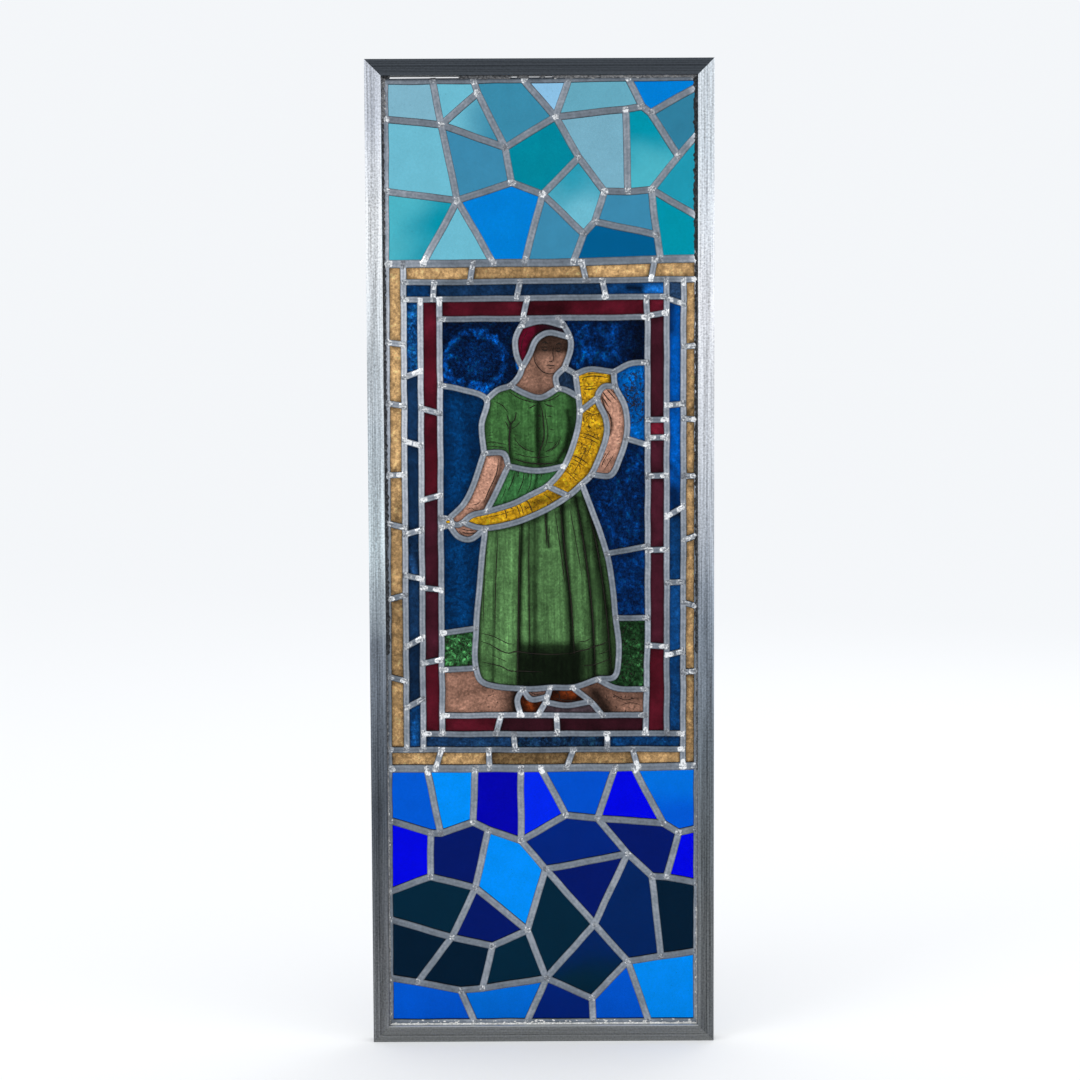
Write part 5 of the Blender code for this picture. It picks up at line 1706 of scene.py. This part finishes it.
BORDER_ENDS = {"amber": (0.75, 13.0), "border_blue": (0.5, 12.0), "ruby": (0.6, 14.0)}
for node, (sheet_name, _, _, matts) in BORDER_STRIPS.items():
    RECIPES[node] = {"grounds": matts, "edge": BORDER_EDGES[sheet_name], "ends": BORDER_ENDS[sheet_name],
                     "shades": BORDER_STAINS.get(node, ()), "grains": BORDER_GRAIN[node]}
print("recipes", len(RECIPES))

# %% [markdown]
# Now every piece is cut, tinted and set. Its tint is kept on the corners of the mesh, so that
# one material serves all the sheets of a kind.

# %% Set the glass
PLAIN_STEP, PLAIN_BACK_STEP = 4.5, 9.0
BORDER_STEP = 2.2
PAINTED_STEP, PAINTED_BACK_STEP = 1.6, 6.0
GLASS_SHARP = 40


def tint_at(sheets, place, low, high):
    """The tint at a place of a pane that is cut from one sheet, or from a streaky one of two colours."""
    first = seen(RACK[sheets[0]])
    if len(sheets) == 1:
        return first
    second, way = seen(RACK[sheets[1]]), sheets[2]
    reach = abs(way[0]) * (high[0] - low[0]) + abs(way[1]) * (high[1] - low[1])
    share = ((place[0] - low[0]) * way[0] + (place[1] - low[1]) * way[1]) / reach
    share += 0.2 * noise.noise((place[0] / 30, place[1] / 30, 8.0))
    share = min(1.0, max(0.0, (share - 0.2) / 0.6))
    share = share * share * (3 - 2 * share)
    return tuple(a + share * (b - a) for a, b in zip(first, second))


def set_glass(node, panes, step, back_step):
    """One piece for a node: a closed body for each (cell, sheets) in it, with its painting."""
    recipe = RECIPES.get(node, {})
    places, faces, tints, matt, grain = [], [], [], [], []
    for number, (cell, sheets) in enumerate(panes):
        rim, _ = inset(LOOPS[cell], GLASS_EDGE)
        ground = recipe["grounds"][number] if "grounds" in recipe else recipe.get("ground", 0.0)
        body, body_faces, front_count = pane_body(rim, step, back_step)
        low, high = np.array(rim).min(0), np.array(rim).max(0)
        start = len(places)
        places += body
        faces += [tuple(start + corner for corner in face) for face in body_faces]
        tints += [tint_at(sheets, (x, drop), low, high) for x, _, drop in body]
        flat = np.array([(x, drop) for x, _, drop in body[:front_count]])
        matt += list(lay_matt(flat, rim, ground, recipe)) + [0.0] * (len(body) - front_count)
        strength = recipe["grains"][number] if "grains" in recipe else recipe.get("grain", 1.0)
        grain += [strength] * len(body)
    glass_faces = len(faces)
    rim, _ = inset(LOOPS[panes[0][0]], TRACE_MARGIN)
    for width, *line in recipe.get("traces", ()):
        draw_trace(width, line, rim, places, faces)
    tints += [(0.0, 0.0, 0.0)] * (len(places) - len(tints))
    matt += [0.0] * (len(places) - len(matt))
    grain += [1.0] * (len(places) - len(grain))
    slot = SLOTS[node]
    name = node.replace("_glass", "") + "_panes"
    piece = make_piece(name, places, faces, [finishes[slot], paint_finish], [node])
    mesh = piece.data
    mesh.polygons.foreach_set("material_index", [0] * glass_faces + [1] * (len(faces) - glass_faces))
    colours = mesh.attributes.new("tint", "FLOAT_COLOR", "POINT")
    colours.data.foreach_set("color", [part for tint in tints for part in (*tint, 1.0)])
    set_numbers(piece, "matt", matt)
    set_numbers(piece, "grain", grain)
    weld(piece)
    shade_smooth(mesh, GLASS_SHARP)
    return piece


painted = {}
for node, panes in MOSAIC_PANES.items():
    panes = [(find_cell((x, drop)), sheets) for x, drop, *sheets in panes]
    painted[node] = set_glass(node, panes, PLAIN_STEP, PLAIN_BACK_STEP)
for node, (sheet_name, start, end, matts) in BORDER_STRIPS.items():
    cells = cells_on_thread(start, end)
    sheets = [cut_from(node, number, sheet_name, matt) for number, matt in enumerate(matts)]
    panes = [(cell, [sheet_cut]) for cell, sheet_cut in zip(cells, sheets)]
    painted[node] = set_glass(node, panes, BORDER_STEP, PLAIN_BACK_STEP)
for node, (x, drop, *sheets) in PICTURE_PANES.items():
    painted[node] = set_glass(node, [(find_cell((x, drop)), sheets)], PAINTED_STEP, PAINTED_BACK_STEP)
print("glass faces", sum(len(piece.data.polygons) for piece in painted.values()))

# %% [markdown]
# ## The frame
#
# The four rails are one aluminium extrusion, mitred at the corners. Its section has rounded
# edges, a flute along the face and fine drawn lines beside it, and a channel that holds the
# panel. Sweeping the section between the two mitre planes gives sharp, true corners.

# %% Draw the rail's section
WIDTH, RAIL_FACE, RAIL_WEB, RAIL_HALF, CHANNEL_HALF = 350.0, 16.5, 8.5, 10.0, 3.1
ARRIS, ARC_STEPS, MITRE_GAP = 0.8, 4, 0.15
FLUTE = (7.5, 0.7, 0.55)
FINE_LINES = (3.0, 4.6, 9.6, 11.2, 12.8)
FINE_HALF, FINE_DEPTH = 0.22, 0.22


def arc(centre, radius, start, end):
    turns = [math.radians(start + (end - start) * index / ARC_STEPS) for index in range(ARC_STEPS + 1)]
    return [(centre[0] + radius * math.cos(turn), centre[1] + radius * math.sin(turn)) for turn in turns]


def rail_section():
    """The rail's outline as (distance from its outer side, depth), front at -10."""
    face = -RAIL_HALF
    line = arc((ARRIS, face + ARRIS), ARRIS, 180, 270)
    cuts = [(at, FINE_HALF, FINE_DEPTH) for at in FINE_LINES] + [FLUTE]
    for at, half, depth in sorted(cuts):
        line += [(at - half, face), (at - half * 0.4, face + depth),
                 (at + half * 0.4, face + depth), (at + half, face)]
    line += arc((RAIL_FACE - ARRIS, face + ARRIS), ARRIS, 270, 360)
    line += [(RAIL_FACE, -CHANNEL_HALF), (RAIL_WEB, -CHANNEL_HALF),
             (RAIL_WEB, CHANNEL_HALF), (RAIL_FACE, CHANNEL_HALF)]
    line += arc((RAIL_FACE - ARRIS, RAIL_HALF - ARRIS), ARRIS, 0, 90)
    line += arc((ARRIS, RAIL_HALF - ARRIS), ARRIS, 90, 180)
    return line


section = rail_section()
print("places on the section", len(section))

# %% [markdown]
# Drawn aluminium has fine lines along its length, which are noise stretched many times that way.
# The rails' tones by height are painted reflections: the two uprights are painted silvery above,
# fading to a dark grey below, the head is painted charcoal and the sill a middle grey, with a painted
# highlight along its inner edge. So each rail gets its own tones by height, under the same lines.

# %% Finish the aluminium
HOLLOW_SHADE_MIDDLE, HOLLOW_SHADE_HALF = 0.1674, 0.006
EDGE_HIGHLIGHT_FROM, EDGE_HIGHLIGHT_FULL = 0.0156, 0.0163
SHEEN = (0.42, 0.28)


def painted_hollow_shade(tree, place, depth):
    """Painted shade: how much darker the middle of an upright's face is made, as if it were hollow."""
    across = sum_up(tree, "ABSOLUTE", add_node(tree, "SeparateXYZ", {0: place}).outputs[0], 0.0)
    away = sum_up(tree, "DIVIDE", sum_up(tree, "SUBTRACT", across, HOLLOW_SHADE_MIDDLE), HOLLOW_SHADE_HALF)
    hollow = sum_up(tree, "SUBTRACT", 1.0, sum_up(tree, "MULTIPLY", away, away), clamp=True)
    return sum_up(tree, "MULTIPLY", hollow, depth)


def brushed(name, along, tones, streak, grain=0.16, hollow_shade=0.0, edge_highlight=0.0):
    """Aluminium with lines along an axis (0 across, 2 upwards), and painted reflections as tones by height.
    """
    made, tree, shader = plain_shader(name)
    place = add_node(tree, "TexCoord").outputs["Object"]
    height = add_node(tree, "SeparateXYZ", {0: place}).outputs[2]
    wander = cloudiness(tree, place, 60, 0.012)
    tones = [(at, seen(colour)) for at, colour in tones]
    base = colour_ramp(tree, sum_up(tree, "ADD", height, wander), tones)
    stretch = [1.0, 1.0, 1.0]
    stretch[along] = 0.02
    fine = cloudiness(tree, place, 1.6, streak, detail=2.0, stretch=stretch)
    broad = cloudiness(tree, place, 4.0, streak * 0.5, detail=2.0, stretch=stretch)
    specks = cloudiness(tree, place, 2.0, grain, detail=3.0)
    lines = sum_up(tree, "ADD", sum_up(tree, "ADD", fine, broad), specks)
    share = sum_up(tree, "SUBTRACT", sum_up(tree, "ADD", lines, 1.0), painted_hollow_shade(tree, place, hollow_shade))
    # Painted highlight: the sill's inner edge is made pale where it would catch the light.
    edge = add_node(tree, "MapRange", {0: height, 1: EDGE_HIGHLIGHT_FROM, 2: EDGE_HIGHLIGHT_FULL, 3: 0.0, 4: edge_highlight})
    share = sum_up(tree, "ADD", share, edge.outputs[0])
    colour = add_node(tree, "VectorMath", {0: base, "Scale": share}, operation="SCALE")
    tree.links.new(colour.outputs[0], shader.inputs["Base Color"])
    shader.inputs["Metallic"].default_value = 0.9
    gloss = add_node(tree, "MapRange", {0: lines, 1: -0.4, 2: 0.4, 3: SHEEN[0], 4: SHEEN[1]})
    tree.links.new(gloss.outputs[0], shader.inputs["Roughness"])
    relief = add_node(tree, "Bump", {"Height": lines, "Strength": 0.3, "Distance": 0.1 * MM})
    tree.links.new(relief.outputs[0], shader.inputs["Normal"])
    return made


# Painted reflections: each upright is bright above and dark below, the head is dark and the sill grey.
LEFT_REFLECTION_TONES = [
    (0.03, (120, 122, 124)), (0.12, (97, 100, 104)), (0.24, (80, 86, 94)), (0.41, (124, 132, 142)),
    (0.52, (206, 218, 223)), (0.63, (195, 204, 210)), (0.85, (248, 250, 252)), (0.93, (206, 210, 218)),
    (0.98, (204, 208, 216)),
]
RIGHT_REFLECTION_TONES = [
    (0.0, (109, 112, 114)), (0.144, (103, 107, 109)), (0.297, (107, 115, 122)), (0.449, (142, 152, 164)),
    (0.6, (204, 208, 214)), (0.755, (238, 239, 243)), (0.907, (219, 226, 232)), (0.98, (216, 222, 227)),
]
HEAD_REFLECTION_TONES = [(0.0, (68, 73, 79)), (1.0, (68, 73, 79))]
SILL_REFLECTION_TONES = [(0.0, (121, 123, 123)), (1.0, (121, 123, 123))]
RAIL_FINISHES = {
    "left_rail": brushed("upright_aluminium_left", 2, LEFT_REFLECTION_TONES, streak=0.13, hollow_shade=0.2),
    "right_rail": brushed("upright_aluminium_right", 2, RIGHT_REFLECTION_TONES, streak=0.15, hollow_shade=0.1),
    "top_rail": brushed("head_aluminium", 0, HEAD_REFLECTION_TONES, streak=0.04, grain=0.1),
    "bottom_rail": brushed("sill_aluminium", 0, SILL_REFLECTION_TONES, streak=0.04, grain=0.12, edge_highlight=2.0),
}
print("rail finishes", len(RAIL_FINISHES))

# %% [markdown]
# A rail could be a long bar that a slanted plane cuts at both ends. It is simpler to slide each place
# of the end sections along by its own distance from the outer side, because that is what a mitre is.
# One function makes all four rails, and a table turns them to their sides.

# %% Sweep the rails
def rail(name, node, length, to_panel):
    """A mitred rail: to_panel turns (distance from the outer side, distance along) into a place."""
    places = []
    for end in (0, 1):
        for inwards, depth in section:
            along = inwards + MITRE_GAP / 2 if end == 0 else length - inwards - MITRE_GAP / 2
            x, drop = to_panel(inwards, along)
            places.append((x, depth, drop))
    faces = []
    skin(faces, 0, 2, len(section), capped=True)
    piece = make_piece(name, places, faces, [RAIL_FINISHES[node]], [node], smooth=25)
    return weld(piece)


RAILS = {
    "left_frame_rail": ("left_rail", HEIGHT, lambda inwards, along: (-WIDTH / 2 + inwards, along)),
    "right_frame_rail": ("right_rail", HEIGHT, lambda inwards, along: (WIDTH / 2 - inwards, along)),
    "top_frame_rail": ("top_rail", WIDTH, lambda inwards, along: (-WIDTH / 2 + along, inwards)),
    "bottom_frame_rail": (
        "bottom_rail", WIDTH, lambda inwards, along: (-WIDTH / 2 + along, HEIGHT - inwards)),
}
rails = [rail(name, *facts) for name, facts in RAILS.items()]
print("rail faces", [len(piece.data.polygons) for piece in rails])

# %% [markdown]
# ## The cement
#
# A panel is bedded in its frame with putty, and waterproofed by brushing cement under the lead. What
# is left of it shows as a crumbly line along the rails, grey in some places and chalky in others. The
# near-black stretches along the two uprights are painted shade in the gap between rail and lead, and
# the thin pale run along the sill is a painted highlight of the sill's lit inner edge. It is a low
# fillet between the rail's lip and the lead, with an edge that wanders, and it has chips lying on it.
# Each stretch of it is a start, an end, a width and a tone, and then how many chips lie on 100 mm of
# it and their tone. Where there is none along the top, daylight comes through the slit.

# %% Bed the panel in cement
LIP_LEFT, LIP_TOP, LIP_BOTTOM = -158.5, 16.5, 983.5
CEMENT_SIDES = {
    "left": ((LIP_LEFT, 0), (0, 1), (1, 0)), "right": ((-LIP_LEFT, 0), (0, 1), (-1, 0)),
    "top": ((0, LIP_TOP), (1, 0), (0, 1)), "bottom": ((0, LIP_BOTTOM), (1, 0), (0, -1)),
}
# The near-black stretches on the uprights are painted shade between rail and lead; the thin pale sill run
# is a painted highlight.
CEMENT_AND_SHADE_RUNS = {
    "left": [
        (17, 64, 4.6, 0.36, 26, 0.75), (63, 130, 2.7, 0.14, 4, 0.6), (129, 201, 3.2, 0.2, 12, 0.6),
        (200, 420, 3.2, 0.1, 3, 0.5), (419, 600, 3.6, 0.1, 3, 0.5), (599, 720, 1.6, 0.3, 5, 0.7),
        (719, 983, 1.7, 0.5, 7, 0.95)],
    "right": [
        (17, 201, 3.6, 0.04, 9, 0.05), (200, 430, 2.7, 0.05, 2, 0.3), (429, 600, 2.6, 0.1, 3, 0.3),
        (599, 720, 1.6, 0.3, 4, 0.5), (719, 860, 0.9, 0.5, 5, 0.7), (859, 983, 1.8, 0.6, 10, 0.9)],
    "top": [
        (-158, -150, 3.4, 0.16, 20, 0.4), (-81, -28, 3.6, 0.33, 12, 0.6),
        (-22.5, -10.5, 3.4, 0.33, 12, 0.6), (0, 5.5, 3.2, 0.33, 8, 0.6), (13, 158, 2.9, 0.42, 9, 0.65)],
    "bottom": [(-158, 158, 1.5, 0.86, 0, 0.9), (-154, 154, 4.6, 0.5, 24, 0.97)],
}
CEMENT_STEP, CHIP_CORNERS = 1.1, 7
CEMENT_TONES = [(0.0, (0.01, 0.011, 0.013)), (0.2, (0.05, 0.052, 0.057)), (0.45, (0.2, 0.2, 0.205)),
                (0.7, (0.42, 0.42, 0.41)), (1.0, (0.88, 0.87, 0.84))]
cement_and_shade_finish = mottled_metal("cement", CEMENT_TONES, ((4, 0.05), (1.6, 0.09)), (0.95, 0.8), 0.0, bump=0.25)
crumble = random.Random(19)


def along_lip(side, at, inwards):
    """The place at a distance along a rail's lip, and some way in from it."""
    (x, drop), (dx, ddrop), (ix, idrop) = CEMENT_SIDES[side]
    return (x + dx * at + ix * inwards, drop + ddrop * at + idrop * inwards)


def bed_of_cement(places, faces, tones, side, start, end, width, tone):
    """A fillet along a rail's lip. Under the top rail it goes back through the slit and stops the light."""
    foot = 1.4 if side == "top" else -2.6
    count = max(3, round((end - start) / CEMENT_STEP))
    first = len(places)
    for index in range(count + 1):
        at = start + (end - start) * index / count
        ease = min(1.0, 0.4 + 0.3 * min(index, count - index))
        ragged = 1 + 0.45 * noise.noise((at / 3.1, width, 1.0)) + 0.25 * noise.noise((at / 9.0, width, 2.0))
        rise = 0.55 + 0.5 * noise.noise((at / 2.3, width, 3.0))
        outline = [(-0.12, foot), (-0.12, -3.3 - rise), (0.4, -3.15 - 0.8 * rise),
                   (0.8, -3.0 - 0.35 * rise), (1.0, foot)]
        for share, depth in outline:
            x, drop = along_lip(side, at, share * (width * ease * ragged))
            places.append((x, depth, drop))
            mottle = 0.25 * noise.noise((at / 2.0, share * 3, 4.0 + width))
            tones.append(tone + mottle - (0.08 if share == 1.0 else 0.0))
    skin(faces, first, count + 1, len(outline), capped=True)


def chip(places, faces, tones, middle, reach, turn, tone):
    """A small flat crumb that lies on the lead or on the fillet."""
    first = len(places)
    for ring, depth in ((1.0, -2.7), (0.7, -3.25)):
        for corner in range(CHIP_CORNERS):
            angle = math.tau * corner / CHIP_CORNERS
            long = reach * crumble.uniform(0.75, 1.15) * math.cos(angle)
            short = 0.5 * reach * math.sin(angle)
            x = middle[0] + ring * (long * math.cos(turn) - short * math.sin(turn))
            drop = middle[1] + ring * (long * math.sin(turn) + short * math.cos(turn))
            places.append((x, depth - 0.2 * crumble.random(), drop))
            tones.append(tone + crumble.uniform(-0.15, 0.1))
    skin(faces, first, 2, CHIP_CORNERS, capped=True)


for side, runs in CEMENT_AND_SHADE_RUNS.items():
    places, faces, tones = [], [], []
    for start, end, width, tone, chips, chip_tone in runs:
        if side != "bottom" or not chips:
            bed_of_cement(places, faces, tones, side, start, end, width, tone)
        dx, ddrop = CEMENT_SIDES[side][1]
        for _ in range(round(chips * (end - start) / 100)):
            at, inwards = crumble.uniform(start + 1, end - 1), crumble.uniform(0.5, width)
            lean = math.atan2(ddrop, dx) + crumble.uniform(-0.5, 0.5)
            reach = crumble.uniform(0.6, 1.9)
            chip(places, faces, tones, along_lip(side, at, inwards), reach, lean, chip_tone)
    piece = make_piece(f"{side}_cement", places, faces, [cement_and_shade_finish], [])
    set_numbers(piece, "tone", tones)
    weld(piece)
    print(piece.name, "faces", len(piece.data.polygons))
